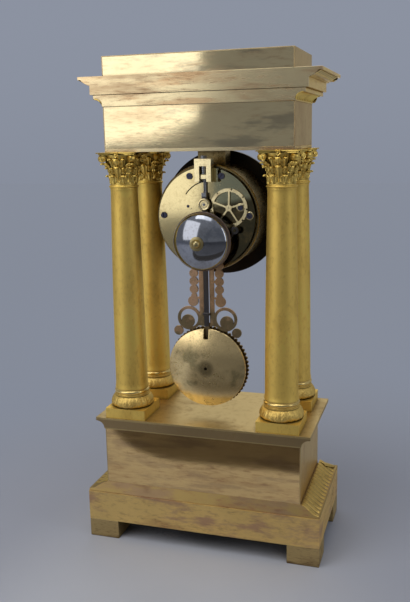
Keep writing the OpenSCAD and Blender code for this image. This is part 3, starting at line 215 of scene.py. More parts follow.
class Draft:
    """Points and faces of one piece, in millimetres, before it becomes a mesh."""

    def __init__(self):
        self.points = []
        self.faces = []

    def add(self, points, faces, place=HERE):
        """Adds points and the faces between them."""
        start = len(self.points)
        self.points.extend(place @ Vector(point) for point in points)
        self.faces.extend(tuple(start + i for i in face) for face in faces)
        return self

    def merge(self, other, place=HERE):
        """Adds another draft."""
        return self.add(other.points, other.faces, place)

    def lathe(self, profile, steps=96, closed=False, place=HERE, swell=None):
        """Turns points of radius and height about Z; swell adds to a radius by angle and point number."""
        points, faces, rings = [], [], []
        for order, (radius, height) in enumerate(profile):
            first = len(points)
            if radius < 1e-6:
                rings.append([first] * steps)
                points.append((0, 0, height))
                continue
            rings.append(range(first, first + steps))
            for step in range(steps):
                angle = TURN * step / steps
                r = radius + (swell(angle, order) if swell else 0)
                points.append((r * math.cos(angle), r * math.sin(angle), height))
        pairs = list(zip(rings, rings[1:]))
        if closed:
            pairs.append((rings[-1], rings[0]))
        for low, high in pairs:
            for step in range(steps):
                after = (step + 1) % steps
                face = tuple(dict.fromkeys((low[step], low[after], high[after], high[step])))
                if len(face) > 2:
                    faces.append(face)
        return self.add(points, faces, place)

    def sheet(self, point_at, across, along):
        """A closed thin piece; point_at takes u from -1 to 1, v from 0 to 1 and side 0 or 1."""
        points, faces = [], []
        for side in (0, 1):
            for j in range(along + 1):
                for i in range(across + 1):
                    points.append(point_at(2 * i / across - 1, j / along, side))
        row, layer = across + 1, (across + 1) * (along + 1)
        for j in range(along):
            for i in range(across):
                k = j * row + i
                faces.append((k, k + 1, k + row + 1, k + row))
                faces.append((layer + k, layer + k + row, layer + k + row + 1, layer + k + 1))
        rim = list(range(across))
        rim += [j * row + across for j in range(along)]
        rim += [along * row + i for i in range(across, 0, -1)]
        rim += [j * row for j in range(along, 0, -1)]
        for k, after in zip(rim, rim[1:] + rim[:1]):
            faces.append((after, k, layer + k, layer + after))
        return self.add(points, faces)

    def prism(self, outline, low, high, place=HERE):
        """An outline in X and Y between two heights."""
        n = len(outline)
        points = [(x, y, h) for h in (low, high) for x, y in outline]
        faces = [tuple(range(n - 1, -1, -1)), tuple(range(n, 2 * n))]
        faces += [(i, (i + 1) % n, n + (i + 1) % n, n + i) for i in range(n)]
        return self.add(points, faces, place)

    def strip(self, path, normals, side, half_width, half_thick, place):
        """A rounded strip along a path, with its width along side."""
        section, squareness = 8, 1.25
        points, faces = [], []
        for point, normal, grow in zip(path, normals, half_thick):
            for k in range(section):
                angle = TURN * (k + 0.5) / section
                wide = half_width * max(-1, min(1, squareness * math.cos(angle)))
                thick = grow * max(-1, min(1, squareness * math.sin(angle)))
                points.append(Vector(point) + Vector(side) * wide + Vector(normal) * thick)
        last = (len(path) - 1) * section
        for low in range(0, last, section):
            high = low + section
            for k in range(section):
                after = (k + 1) % section
                faces.append((low + k, low + after, high + after, high + k))
        faces.append(tuple(range(section - 1, -1, -1)))
        faces.append(tuple(last + k for k in range(section)))
        return self.add(points, faces, place)


def smooth(mesh, sharp):
    """Smooth shading that keeps edges above an angle sharp."""
    mesh.shade_smooth()
    mesh.set_sharp_from_angle(angle=math.radians(sharp))


def mesh_of(name, draft, sharp=38):
    """A clean smooth mesh of a draft, in metres."""
    mesh = bpy.data.meshes.new(name)
    mesh.from_pydata([p * MM for p in draft.points], [], draft.faces)
    shape = bmesh.new()
    shape.from_mesh(mesh)
    bmesh.ops.remove_doubles(shape, verts=shape.verts, dist=1e-7)
    bmesh.ops.recalc_face_normals(shape, faces=shape.faces)
    shape.to_mesh(mesh)
    shape.free()
    smooth(mesh, sharp)
    return mesh


def modified(name, mesh, kind, settle):
    """The plain mesh that one modifier makes of another mesh."""
    holder = bpy.data.objects.new(name, mesh)
    bpy.context.scene.collection.objects.link(holder)
    settle(holder.modifiers.new(name, kind))
    holder.update_tag()
    bpy.context.view_layer.update()
    graph = bpy.context.evaluated_depsgraph_get()
    made = bpy.data.meshes.new_from_object(holder.evaluated_get(graph))
    bpy.data.objects.remove(holder)
    bpy.data.meshes.remove(mesh)
    made.name = name
    return made


def show(name, mesh, finish, body, stands_for=()):
    """Links a mesh as a piece that rides on a CAD body."""
    mesh.materials.clear()
    mesh.materials.append(material_of(finish))
    piece = bpy.data.objects.new(name, mesh)
    bpy.context.scene.collection.objects.link(piece)
    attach(piece, body)
    if stands_for:
        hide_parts(*stands_for)


def show_draft(name, draft, finish, body, stands_for=(), sharp=38):
    """Shows a draft as a piece."""
    show(name, mesh_of(name, draft, sharp), finish, body, stands_for)


def follow_large_faces(modifier):
    """Lets shading normals follow large faces and stop at sharp edges."""
    modifier.keep_sharp = True


def refined(node, finish, rounding=0.0):
    """Shows a copy of a CAD node with merged points, rounded edges and smooth turning."""
    flat, edge, sharp = math.radians(0.6), math.radians(34), 32
    shape = bmesh.new()
    shape.from_mesh(frame["nodes"][node].data)
    bmesh.ops.remove_doubles(shape, verts=shape.verts, dist=2e-6)
    bmesh.ops.dissolve_limit(shape, angle_limit=flat, verts=shape.verts, edges=shape.edges)
    if rounding > 0:
        edges = [e for e in shape.edges if len(e.link_faces) == 2 and e.calc_face_angle(0) > edge]
        bmesh.ops.bevel(
            shape, geom=edges, offset=rounding * MM, segments=2, profile=0.6, affect="EDGES",
            clamp_overlap=True,
        )
    name = "look_" + node
    mesh = bpy.data.meshes.new(name)
    shape.to_mesh(mesh)
    shape.free()
    smooth(mesh, sharp)
    mesh = modified(name, mesh, "WEIGHTED_NORMAL", follow_large_faces)
    show(name, mesh, finish, frame["nodes"][node]["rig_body"], (node,))


def feed(tree, node, inputs):
    """Links or sets a node's inputs, given by name or number."""
    for label, value in inputs.items():
        socket = node.inputs[label]
        if isinstance(value, Field):
            value = value.socket
        if isinstance(value, bpy.types.NodeSocket):
            tree.links.new(value, socket)
        elif socket.type == "RGBA":
            socket.default_value = (*value, 1)
        else:
            socket.default_value = value


def new_node(tree, kind, inputs=None, **settings):
    """A node with its settings made and its inputs fed."""
    node = tree.nodes.new(kind)
    for label, value in settings.items():
        setattr(node, label, value)
    feed(tree, node, inputs or {})
    return node


class Field:
    """A node's output that takes plain arithmetic, each step of which becomes a node."""

    def __init__(self, tree, socket):
        self.tree = tree
        self.socket = socket

    def made(self, kind, output, inputs, **settings):
        """An output of a new node in this tree."""
        return Field(self.tree, new_node(self.tree, kind, inputs, **settings).outputs[output])

    def reckon(self, operation, *values):
        """One step of arithmetic."""
        return self.made("ShaderNodeMath", "Value", dict(enumerate(values)), operation=operation)

    def __add__(self, other):
        return self.reckon("ADD", self, other)

    def __sub__(self, other):
        return self.reckon("SUBTRACT", self, other)

    def __rsub__(self, other):
        return self.reckon("SUBTRACT", other, self)

    def __mul__(self, other):
        return self.reckon("MULTIPLY", self, other)

    def __truediv__(self, other):
        return self.reckon("DIVIDE", self, other)

    def clamped(self):
        """The last step kept from nought to one."""
        self.socket.node.use_clamp = True
        return self

    def ramp(self, low, high):
        """Runs smoothly from 0 at low to 1 at high."""
        inputs = {"Value": self, "From Min": low, "From Max": high}
        return self.made("ShaderNodeMapRange", "Result", inputs, interpolation_type="SMOOTHSTEP")

    def mix(self, first, second):
        """The colour between two colours, by this value."""
        return self.made("ShaderNodeMix", 2, {"Factor": self, 6: first, 7: second}, data_type="RGBA")

    def noise(self, scale, detail=4.0, roughness=0.55):
        """Noise read at this place."""
        inputs = {"Vector": self, "Scale": scale, "Detail": detail, "Roughness": roughness}
        return self.made("ShaderNodeTexNoise", "Fac", inputs)

    def vector(self, operation, other):
        """One step of arithmetic on places."""
        return self.made("ShaderNodeVectorMath", "Vector", {0: self, 1: other}, operation=operation)

    def parts(self):
        """The X, Y and Z of this place."""
        split = new_node(self.tree, "ShaderNodeSeparateXYZ", {"Vector": self})
        return [Field(self.tree, split.outputs[axis]) for axis in "XYZ"]


def place_in(tree, system="Object"):
    """Where a point of the surface is."""
    return Field(tree, new_node(tree, "ShaderNodeTexCoord").outputs[system])


def open_tree(kind, name, inputs, outputs):
    """A node group with its interface made, and its inputs as fields."""
    tree = bpy.data.node_groups.new(name, kind)
    for label, socket in inputs.items():
        tree.interface.new_socket(label, in_out="INPUT", socket_type="NodeSocket" + socket)
    for label, socket in outputs.items():
        tree.interface.new_socket(label, in_out="OUTPUT", socket_type="NodeSocket" + socket)
    start = tree.nodes.new("NodeGroupInput")
    return tree, {label: Field(tree, start.outputs[label]) for label in inputs}


def open_ornament(name, inputs):
    """A geometry tree that takes an ornament, its sizes and its material."""
    inputs = {"Geometry": "Geometry", **inputs, "Material": "Material"}
    return open_tree("GeometryNodeTree", name, inputs, {"Geometry": "Geometry"})


def end_ornament(tree, given, points, **rotation):
    """Places the ornament on points, makes it real and sets its material."""
    inputs = {"Points": points, "Instance": given["Geometry"], **rotation}
    placed = new_node(tree, "GeometryNodeInstanceOnPoints", inputs).outputs["Instances"]
    real = new_node(tree, "GeometryNodeRealizeInstances", {"Geometry": placed}).outputs["Geometry"]
    inputs = {"Geometry": real, "Material": given["Material"]}
    painted = new_node(tree, "GeometryNodeSetMaterial", inputs).outputs["Geometry"]
    new_node(tree, "NodeGroupOutput", {"Geometry": painted})
    return tree


def ring_tree(name):
    """Turns copies of an ornament about an axis through a centre."""
    tree, given = open_ornament(name, {"Count": "Int", "Centre": "Vector", "Axis": "Vector"})
    points = new_node(tree, "GeometryNodePoints", {"Count": given["Count"], "Position": given["Centre"]})
    index = Field(tree, new_node(tree, "GeometryNodeInputIndex").outputs["Index"])
    angle = index / given["Count"] * TURN
    about = new_node(tree, "ShaderNodeVectorMath", {0: given["Axis"], "Scale": angle}, operation="SCALE")
    turned = new_node(tree, "FunctionNodeEulerToRotation", {"Euler": about.outputs["Vector"]})
    return end_ornament(tree, given, points.outputs["Points"], Rotation=turned.outputs["Rotation"])


def row_tree(name):
    """Copies an ornament along a straight row."""
    tree, given = open_ornament(name, {"Count": "Int", "Start": "Vector", "Step": "Vector"})
    inputs = {"Count": given["Count"], "Start Location": given["Start"], "Offset": given["Step"]}
    line = new_node(tree, "GeometryNodeMeshLine", inputs, mode="OFFSET")
    return end_ornament(tree, given, line.outputs["Mesh"])


def column_tree(name):
    """Copies a piece to the four column places."""
    sizes = {"Gap across": "Float", "Gap deep": "Float", "Centre": "Vector"}
    tree, given = open_ornament(name, sizes)
    inputs = {"Size X": given["Gap across"], "Size Y": given["Gap deep"], "Vertices X": 2, "Vertices Y": 2}
    grid = new_node(tree, "GeometryNodeMeshGrid", inputs).outputs["Mesh"]
    placed = new_node(tree, "GeometryNodeTransform", {"Geometry": grid, "Translation": given["Centre"]})
    return end_ornament(tree, given, placed.outputs["Geometry"])


def worn_tree(name):
    """Stains wiped along one way, fine scratches and uneven polish on metal."""
    tree, given = open_tree("ShaderNodeTree", name, {
        "Metal": "Color", "Stain": "Color", "Amount": "Float", "Scale": "Float", "Wipe": "Vector",
        "Tarnish": "Color", "Patches": "Float", "Patch scale": "Float",
        "Roughness": "Float", "Spread": "Float",
    }, {"Colour": "Color", "Roughness": "Float", "Height": "Float"})
    place = place_in(tree)
    wiped = place.vector("MULTIPLY", given["Wipe"])
    elsewhere = wiped.vector("ADD", (0.37, 0.11, 0.23))
    blotch = wiped.noise(given["Scale"], 5.0, 0.62).ramp(0.47, 0.72)
    fine = wiped.noise(given["Scale"] * 8.0, 6.0, 0.7)
    speck = place.noise(420.0, 3.0, 0.6)
    cloud = place.noise(14.0, 3.0, 0.5)
    patch = elsewhere.noise(given["Patch scale"], 5.0, 0.65).ramp(0.50, 0.66)
    stained = blotch + fine.ramp(0.49, 0.70) * 0.65 + speck.ramp(0.64, 0.74) * 0.5
    stained = (stained * given["Amount"]).clamped()
    shade = stained.mix(given["Metal"], given["Stain"])
    shade = (patch * given["Patches"]).mix(shade, given["Tarnish"])
    uneven = (cloud - 0.5) * 0.35 + 1.0
    bright = new_node(tree, "ShaderNodeHueSaturation", {"Value": uneven, "Color": shade})
    rough = (stained + fine * 0.4) * given["Spread"] + given["Roughness"]
    new_node(tree, "NodeGroupOutput", {
        "Colour": bright.outputs["Color"], "Roughness": rough.clamped(), "Height": fine * 0.5 + speck * 0.25,
    })
    return tree


def crevice_tree(name):
    """Dirt and painted shade where a surface is closely hemmed in."""
    tree, given = open_tree("ShaderNodeTree", name, {
        "Colour": "Color", "Dirt": "Color", "Distance": "Float", "Strength": "Float",
    }, {"Colour": "Color", "Mask": "Float"})
    hemmed = new_node(tree, "ShaderNodeAmbientOcclusion", {"Distance": given["Distance"]}, samples=6)
    closed = 1.0 - Field(tree, hemmed.outputs["AO"])
    mask = (closed.ramp(0.18, 0.75) * given["Strength"]).clamped()
    shade = mask.mix(given["Colour"], given["Dirt"])
    new_node(tree, "NodeGroupOutput", {"Colour": shade, "Mask": mask})
    return tree


TREES = {
    "Ring of ornaments": ring_tree,
    "Row of ornaments": row_tree,
    "Column places": column_tree,
    "Worn metal": worn_tree,
    "Crevice dirt": crevice_tree,
}


def tree_of(name):
    """A node group, built when it is first asked for."""
    return bpy.data.node_groups.get(name) or TREES[name](name)


def repeated(name, draft, tree_name, values, finish, sharp):
    """The plain mesh that a geometry tree makes of an ornament."""
    tree = tree_of(tree_name)
    values = {**values, "Material": material_of(finish)}

    def settle(modifier):
        modifier.node_group = tree
        for item in tree.interface.items_tree:
            if item.in_out == "INPUT" and item.name in values:
                modifier[item.identifier] = values[item.name]

    made = modified(name, mesh_of(name + "_one", draft, sharp), "NODES", settle)
    smooth(made, sharp)
    return made


def at_columns(name, draft, finish, stands_for=(), sharp=38):
    """Shows one draft at all four columns."""
    sizes = bpy.context.scene.clock_sizes
    values = {
        "Gap across": sizes.column_gap_x,
        "Gap deep": sizes.column_gap_y,
        "Centre": (0, sizes.depth_shift, 0),
    }
    mesh = repeated(name, draft, "Column places", values, finish, sharp)
    show(name, mesh, finish, "case", stands_for)


def in_ring(name, draft, count, centre, body):
    """Shows chased ornaments in a ring that faces the front."""
    values = {"Count": count, "Centre": [c * MM for c in centre], "Axis": (0, 1, 0)}
    mesh = repeated(name, draft, "Ring of ornaments", values, "Chased gilt", 38)
    show(name, mesh, "Chased gilt", body)


def in_row(name, draft, count, start, step, finish):
    """Shows ornaments in a row along a moulding."""
    values = {"Count": count, "Start": [c * MM for c in start], "Step": [c * MM for c in step]}
    mesh = repeated(name, draft, "Row of ornaments", values, finish, 38)
    show(name, mesh, finish, "case")


def painted_groove_shade(along, start, base):
    """Painted shade in the grooves between the leaves of one row of the cornice."""
    steps = (along - start * MM) / (CORNICE["pitch"] * MM)
    near = steps.reckon("PINGPONG", steps, 0.5)
    return near.ramp(0.29, 0.37).mix(base, (0.06, 0.035, 0.01))


def front_groove_shade(x, y, z, base):
    """Painted groove shade between the leaves of the front row."""
    return painted_groove_shade(x, first_leaf(CORNICE, "front"), base)


def side_groove_shade(x, y, z, base):
    """Painted groove shade between the leaves of the side rows."""
    return painted_groove_shade(y, first_leaf(CORNICE, "side"), base)


def gilt_ahead(x, y, z, base):
    """Gilding on all but the back edge."""
    return y.ramp(0.0468, 0.0474).mix(bpy.context.scene.clock_finish.gilt, base)


def green_half_and_painted_reflection(x, y, z, base):
    """A greenish half of the back plate, and a painted dark reflection that makes it nearly black low down.
    """
    aside = x * -1.0
    # Painted dark reflection: the low part of the greenish half turns nearly black.
    low = (z - aside * 0.22).ramp(0.342, 0.335)
    green = aside.ramp(0.004, 0.014).mix(base, (0.46, 0.47, 0.31))
    mask = low * aside.ramp(0.001, 0.009) * 0.9
    return mask.mix(green, (0.05, 0.038, 0.018))


def painted_light_and_dark_scrolls(x, y, z, base):
    """The fret's paler side towards the key light, which is painted light, and its darker part low down among
    the scrolls.
    """
    up = z - bpy.context.scene.clock_sizes.bob_z
    painted_lit = x.ramp(0.002, 0.012).mix(base, (0.78, 0.50, 0.31))
    return up.ramp(0.062, 0.053).mix(painted_lit, (0.31, 0.24, 0.13))


def shaded_back(x, y, z, base):
    """A browner band of painted shade on the back edge of the base cap, below its top edge."""
    down = bpy.context.scene.clock_sizes.column_z - z
    band = down.ramp(0.0016, 0.0024) * down.ramp(0.0106, 0.0100) * y.ramp(0.0588, 0.0593)
    return band.mix(base, (0.40, 0.29, 0.15))


def smudged(x, y, z, base):
    """A dark spot in the middle of the bob."""
    up = z - bpy.context.scene.clock_sizes.bob_z
    away = up * up + x * x
    return (away.ramp(0.00011, 0.00001) * 0.7).mix(base, (0.10, 0.08, 0.04))


def painted_shade_behind(x, y, z, base):
    """Painted shade: dark bronze colour on the back of the bob's rim."""
    return y.ramp(0.0185, 0.0195).mix(base, (0.16, 0.11, 0.05))


def brown_lip(x, y, z, shade, rough):
    """A dull brown lip on the bell."""
    lip = y.ramp(0.0422, 0.0414)
    return lip.mix(shade, (0.22, 0.18, 0.17)), (rough + lip * 0.4).clamped()


# What a finish has where its row doesn't say otherwise. The base, stain, dirt and shade, and rough of a row
# may
# name a property. Stains: amount, scale and how they stretch along each axis. Polish: roughness, its spread
# and the bump of scratches. Dirt and painted shade in hollows: colour, reach in millimetres, strength. Face:
# wave of the sheet, tilt of its shading in degrees, twist. Tarnish: colour, patches and their scale. Dimmed
# is the share of the base colour that is left; shade changes it by place, and over changes the finished
# colour and roughness.
PLAIN = {
    "amount": 0.4, "scale": 60, "wipe": (1, 1, 1), "rough": 0.3, "spread": 0.2, "bump": 0.05,
    "dirt": None, "reach": 4, "dirt_and_shade_strength": 0.8, "wave": 0, "tilt": (0, 0), "twist": 0,
    "tarnish": (0.3, 0.2, 0.1), "patches": 0, "patch_scale": 24, "dimmed": 1, "shade": None, "over": None,
}
CHASED = {
    "base": "gilt", "stain": (0.50, 0.30, 0.06), "amount": 0.35, "spread": 0.15, "bump": 0.10,
    "dirt": "gilt_dirt", "reach": 4.5, "dirt_and_shade_strength": 0.95,
}
RIBBED = {**CHASED, "base": (1.0, 0.78, 0.34)}
FINISHES = {
    "Matte gilt": dict(
        base="gilt", stain=(0.52, 0.31, 0.07), amount=0.35, scale=45, wipe=(1, 1, 0.5), rough="gilt_rough",
        spread=0.10, bump=0.06, dirt="gilt_dirt", reach=6, dirt_and_shade_strength=0.75,
    ),
    "Chased gilt": CHASED,
    "Ribbed gilt X": {**RIBBED, "shade": front_groove_shade},
    "Ribbed gilt Y": {**RIBBED, "shade": side_groove_shade},
    "Bob rim gilt": {**CHASED, "stain": (0.45, 0.27, 0.06), "rough": 0.32, "shade": painted_shade_behind},
    "Leafed gilt": dict(
        base=(0.92, 0.66, 0.20), stain=(0.45, 0.27, 0.07), rough=0.44, spread=0.14, bump=0.12,
        dirt=(0.09, 0.05, 0.01), dirt_and_shade_strength=0.9,
    ),
    "Burnished gilt": dict(
        base=(0.98, 0.74, 0.28), stain=(0.50, 0.30, 0.08), amount=0.3, wipe=(1, 1, 0.4), rough=0.2,
        spread=0.14, bump=0.03, dirt=(0.09, 0.05, 0.01), reach=3, dirt_and_shade_strength=0.7,
    ),
    "Worn leaf gilt": dict(
        base=(0.70, 0.50, 0.16), stain=(0.30, 0.19, 0.06), amount=0.5, rough=0.42, spread=0.15, bump=0.12,
        dirt=(0.07, 0.04, 0.01), reach=5, dirt_and_shade_strength=0.95,
    ),
    "Worn foot": dict(
        base=(0.50, 0.37, 0.17), stain=(0.20, 0.13, 0.07), amount=0.7, wipe=(0.4, 0.4, 1.6), rough=0.42,
        spread=0.25, bump=0.14, dirt=(0.07, 0.04, 0.02), reach=5,
    ),
    "Plinth gilt": dict(
        base="plinth", stain="plinth_stain", amount=0.7, scale=28, wipe=(0.35, 0.35, 1.2), rough=0.38,
        spread=0.25, bump=0.10, dirt=(0.12, 0.06, 0.02), reach=6, dirt_and_shade_strength=0.9,
        tarnish=(0.50, 0.29, 0.19), patches=0.8, patch_scale=48,
    ),
    "Sloping gilt": dict(
        base="plinth", dimmed=0.46, stain="plinth_stain", amount=0.75, scale=34, wipe=(0.3, 0.35, 1.2),
        rough=0.40, spread=0.25, bump=0.12, dirt=(0.16, 0.06, 0.02), reach=8, dirt_and_shade_strength=0.95,
        tarnish=(0.30, 0.20, 0.12), patches=0.8, patch_scale=48,
    ),
    "Base cap bronze": dict(
        base=(0.57, 0.44, 0.21), stain=(0.36, 0.24, 0.11), amount=0.45, scale=24, wipe=(0.8, 0.8, 0.8),
        rough=0.36, bump=0.08, dirt="gilt_dirt", reach=12, dirt_and_shade_strength=0.6, shade=shaded_back,
    ),
    "Back panel brass": dict(
        base="panel", stain="panel_stain", amount=0.42, scale=34, wipe=(0.30, 0.3, 1.4), rough="panel_rough",
        spread=0.10, bump=0.03, dirt=(0.16, 0.09, 0.03), wave=0.12, twist=0.075,
        tarnish=(0.30, 0.27, 0.20), patches=0.6, patch_scale=46,
    ),
    "Stained back brass": dict(
        base="panel", stain="panel_stain", amount=0.62, scale=30, wipe=(0.25, 0.3, 1.5), rough=0.18,
        spread=0.16, bump=0.03, dirt=(0.14, 0.06, 0.02), reach=7, dirt_and_shade_strength=0.9, wave=0.08,
        tarnish=(0.58, 0.33, 0.16), patches=0.6, patch_scale=50, shade=gilt_ahead,
    ),
    "Die panel brass": dict(
        base=(0.90, 0.63, 0.28), stain=(0.50, 0.27, 0.13), amount=0.6, scale=30, wipe=(0.28, 0.3, 1.5),
        rough=0.05, spread=0.12, bump=0.03, dirt=(0.14, 0.06, 0.02), reach=6, dirt_and_shade_strength=0.9, wave=0.05,
        tarnish=(0.48, 0.32, 0.18), patches=0.6, patch_scale=50,
    ),
    "Side plate brass": dict(
        base=(0.65, 0.49, 0.245), stain="panel_stain", amount=0.35, scale=26, wipe=(0.8, 0.8, 0.6),
        spread=0.14, bump=0.04, dirt=(0.12, 0.06, 0.02), dirt_and_shade_strength=0.7,
    ),
    "Movement brass": dict(
        base="movement", stain=(0.45, 0.30, 0.12), amount=0.22, scale=55, rough=0.16, spread=0.14, bump=0.015,
        dirt=(0.10, 0.06, 0.02), reach=3, dirt_and_shade_strength=0.6, wave=0.05,
    ),
    "Back plate brass": dict(
        base=(0.64, 0.54, 0.29), stain=(0.40, 0.27, 0.11), amount=0.3, scale=55, rough=0.07, spread=0.10,
        bump=0.01, dirt=(0.10, 0.06, 0.02), reach=3, dirt_and_shade_strength=0.6, wave=0.04, tilt=(0, 4.2), shade=green_half_and_painted_reflection,
    ),
    "Count wheel brass": dict(
        base=(0.80, 0.69, 0.41), stain=(0.36, 0.24, 0.10), scale=90, rough=0.16, spread=0.16, bump=0.03,
        dirt=(0.10, 0.06, 0.02), reach=2, wave=0.06, tilt=(1.6, 4),
    ),
    "Aged brass": dict(
        base=(0.48, 0.40, 0.20), stain=(0.20, 0.14, 0.06), amount=0.5, scale=70, rough=0.26,
        dirt=(0.08, 0.05, 0.02), reach=2,
    ),
    "Drum brass": dict(
        base="drum", stain=(0.12, 0.08, 0.03), amount=0.5, scale=40, wipe=(1, 0.3, 1), rough=0.2,
        dirt=(0.03, 0.02, 0.01), reach=6, dirt_and_shade_strength=0.6,
    ),
    "Fret brass": dict(
        base="copper", stain=(0.20, 0.13, 0.08), amount=0.5, scale=90, bump=0.10, dirt=(0.04, 0.025, 0.01),
        reach=4.5, dirt_and_shade_strength=0.95, tarnish=(0.90, 0.56, 0.32), patches=0.5, patch_scale=75, shade=painted_light_and_dark_scrolls,
    ),
    "Bob brass": dict(
        base=(0.97, 0.75, 0.38), stain=(0.40, 0.28, 0.12), scale=40, rough=0.2, spread=0.14, bump=0.02,
        dirt=(0.08, 0.05, 0.02), wave=0.05, tilt=(0, 1.8),
        tarnish=(0.34, 0.29, 0.14), patches=0.7, patch_scale=45, shade=smudged,
    ),
    "Bell metal": dict(
        base="bell", stain=(0.20, 0.20, 0.21), scale=55, rough=0.06, spread=0.16, bump=0.02,
        tarnish=(0.20, 0.22, 0.27), patches=0.7, patch_scale=60, over=brown_lip,
    ),
    "Dark bronze": dict(base="dark", stain=(0.06, 0.045, 0.02), scale=40, rough=0.34),
    "Dark steel": dict(base=(0.125, 0.12, 0.12), stain=(0.09, 0.06, 0.04), wipe=(1, 1, 0.3), rough=0.24),
    "Ground steel": dict(base="steel", stain=(0.18, 0.13, 0.09), amount=0.3, wipe=(1, 1, 0.3), rough=0.28),
    "Blued steel": dict(base="blued", stain=(0.09, 0.06, 0.10), scale=90, rough=0.2, spread=0.15, bump=0.03),
}
EDGE_TINT = (1.0, 0.90, 0.70)  # tint of a metal's grazing reflections
TWIST_CENTRE = (0.09, 0.413)  # X and Z that the frieze panel's twist turns about, in metres


def new_material(name):
    """A material, its tree and the place of a point on its surface."""
    material = bpy.data.materials.new(name)
    material.use_nodes = True
    return material, material.node_tree, place_in(material.node_tree)


def dress(tree, values):
    """Sets the inputs of a material's shader."""
    feed(tree, tree.nodes["Principled BSDF"], values)


def relief(tree, height, strength, distance, normal):
    """A bump on top of an earlier normal, where there is one."""
    inputs = {"Height": height, "Strength": strength, "Distance": distance}
    if normal is not None:
        inputs["Normal"] = normal
    return new_node(tree, "ShaderNodeBump", inputs).outputs["Normal"]


def metal(name):
    """A metal with stains, uneven polish, a wavy face, and dirt and painted shade in its hollows."""
    tones = bpy.context.scene.clock_finish
    row = {**PLAIN, **FINISHES[name]}
    for key in ("base", "stain", "dirt", "rough"):
        if isinstance(row[key], str):
            row[key] = getattr(tones, row[key])
    material, tree, place = new_material(name)
    x, y, z = place.parts()
    base = [row["dimmed"] * c for c in row["base"]]
    if row["shade"]:
        base = row["shade"](x, y, z, base)
    worn = new_node(tree, "ShaderNodeGroup", {
        "Metal": base, "Stain": row["stain"], "Amount": row["amount"], "Scale": row["scale"],
        "Wipe": row["wipe"], "Tarnish": row["tarnish"], "Patches": row["patches"],
        "Patch scale": row["patch_scale"], "Roughness": row["rough"], "Spread": row["spread"],
    }, node_tree=tree_of("Worn metal"))
    shade = Field(tree, worn.outputs["Colour"])
    rough = Field(tree, worn.outputs["Roughness"])
    # Ambient occlusion darkens the hollows with dirt and painted shade.
    if row["dirt"]:
        crevice = new_node(tree, "ShaderNodeGroup", {
            "Colour": shade, "Dirt": row["dirt"], "Distance": row["reach"] * MM, "Strength": row["dirt_and_shade_strength"],
        }, node_tree=tree_of("Crevice dirt"))
        shade = Field(tree, crevice.outputs["Colour"])
        rough = (rough + Field(tree, crevice.outputs["Mask"]) * 0.35).clamped()
    if row["over"]:
        shade, rough = row["over"](x, y, z, shade, rough)
    normal = None
    if any(row["tilt"]) or row["twist"]:
        lean_x, lean_z = (math.tan(math.radians(angle)) for angle in row["tilt"])
        warp = (TWIST_CENTRE[0] - x) * (z - TWIST_CENTRE[1]) * row["twist"]
        normal = relief(tree, x * -lean_x + z * -lean_z + warp, 1.0, 1.0, None)
    if row["wave"]:
        normal = relief(tree, place.noise(13.0, 1.0), row["wave"], 0.004, normal)
    normal = relief(tree, worn.outputs["Height"], row["bump"], 0.0006, normal)
    dress(tree, {
        "Base Color": shade, "Roughness": rough, "Normal": normal,
        "Metallic": 1.0, "Specular Tint": EDGE_TINT,
    })
    return material


def enamel(name):
    """Glossy white enamel with faint clouding."""
    material, tree, place = new_material(name)
    cloud = place.noise(60.0)
    shade = cloud.ramp(0.4, 0.7).mix(bpy.context.scene.clock_finish.enamel, (0.80, 0.77, 0.69))
    dress(tree, {"Base Color": shade, "Roughness": cloud.ramp(-0.2, 4.0), "Coat Weight": 0.5})
    return material


def dial_paint(name):
    """Black paint, a little worn."""
    material, tree, place = new_material(name)
    worn = place.noise(300.0, 3.0).ramp(0.55, 0.8)
    shade = worn.mix(bpy.context.scene.clock_finish.ink, (0.05, 0.045, 0.04))
    dress(tree, {"Base Color": shade, "Roughness": 0.35})
    return material


def clear_glass(name):
    """Clear glass with a faint film."""
    material, tree, place = new_material(name)
    film = place.noise(25.0, 3.0).ramp(0.3, 5.0)
    dress(tree, {
        "Roughness": film, "Base Color": (0.97, 0.99, 0.985), "Transmission Weight": 1.0, "IOR": 1.47,
    })
    return material


PAINTS = {"White enamel": enamel, "Dial paint": dial_paint, "Clear glass": clear_glass}


def material_of(name):
    """A finish, built when it is first asked for."""
    return bpy.data.materials.get(name) or PAINTS.get(name, metal)(name)


def leaf(width, tall, rise, ribs):
    """A pointed leaf along +Y with a groove down its middle, lying on Z = 0."""

    def point_at(u, v, side):
        half = width * math.sin(math.pi * min(1.0, 0.12 + 0.9 * v)) ** 0.8
        half *= 0.92 + 0.08 * math.cos(TURN * ribs * v)
        lift = rise * (1 - u * u) * (0.35 + 0.65 * math.sin(math.pi * min(1.0, 0.2 + 0.75 * v)))
        groove = 0.45 * rise * math.exp(-(u / 0.14) ** 2)
        vein = 0.10 * rise * math.cos(TURN * ribs * (v + 0.35 * abs(u)))
        height = max(0.0, lift - groove + vein * (1 - abs(u))) if side else -0.4
        return (u * half, tall * v, height)

    return Draft().sheet(point_at, 12, 14)


def moulded_leaf(profile, half, rise, lean, groove):
    """A leaf that follows a moulding's profile of reach and height, with its tip at the last point."""
    last = len(profile) - 1

    def point_at(u, v, side):
        k = min(last - 1, int(v * last))
        part = v * last - k
        (low_out, low_z), (high_out, high_z) = profile[k], profile[k + 1]
        run, climb = high_out - low_out, high_z - low_z
        size = math.hypot(run, climb)
        wide = half * (1 - 0.55 * max(0.0, (v - 0.55) / 0.45) ** 1.6)
        lift = rise * (1 - u * u) ** 0.6 * (0.7 + 0.3 * math.sin(math.pi * v))
        lift -= groove * math.exp(-(u / 0.2) ** 2)
        lift = max(0.02, lift) if side else -0.6
        out = low_out + run * part - climb / size * lift
        height = low_z + climb * part + run / size * lift
        return (out, u * wide + lean * v, height)

    return Draft().sheet(point_at, 8, 14)


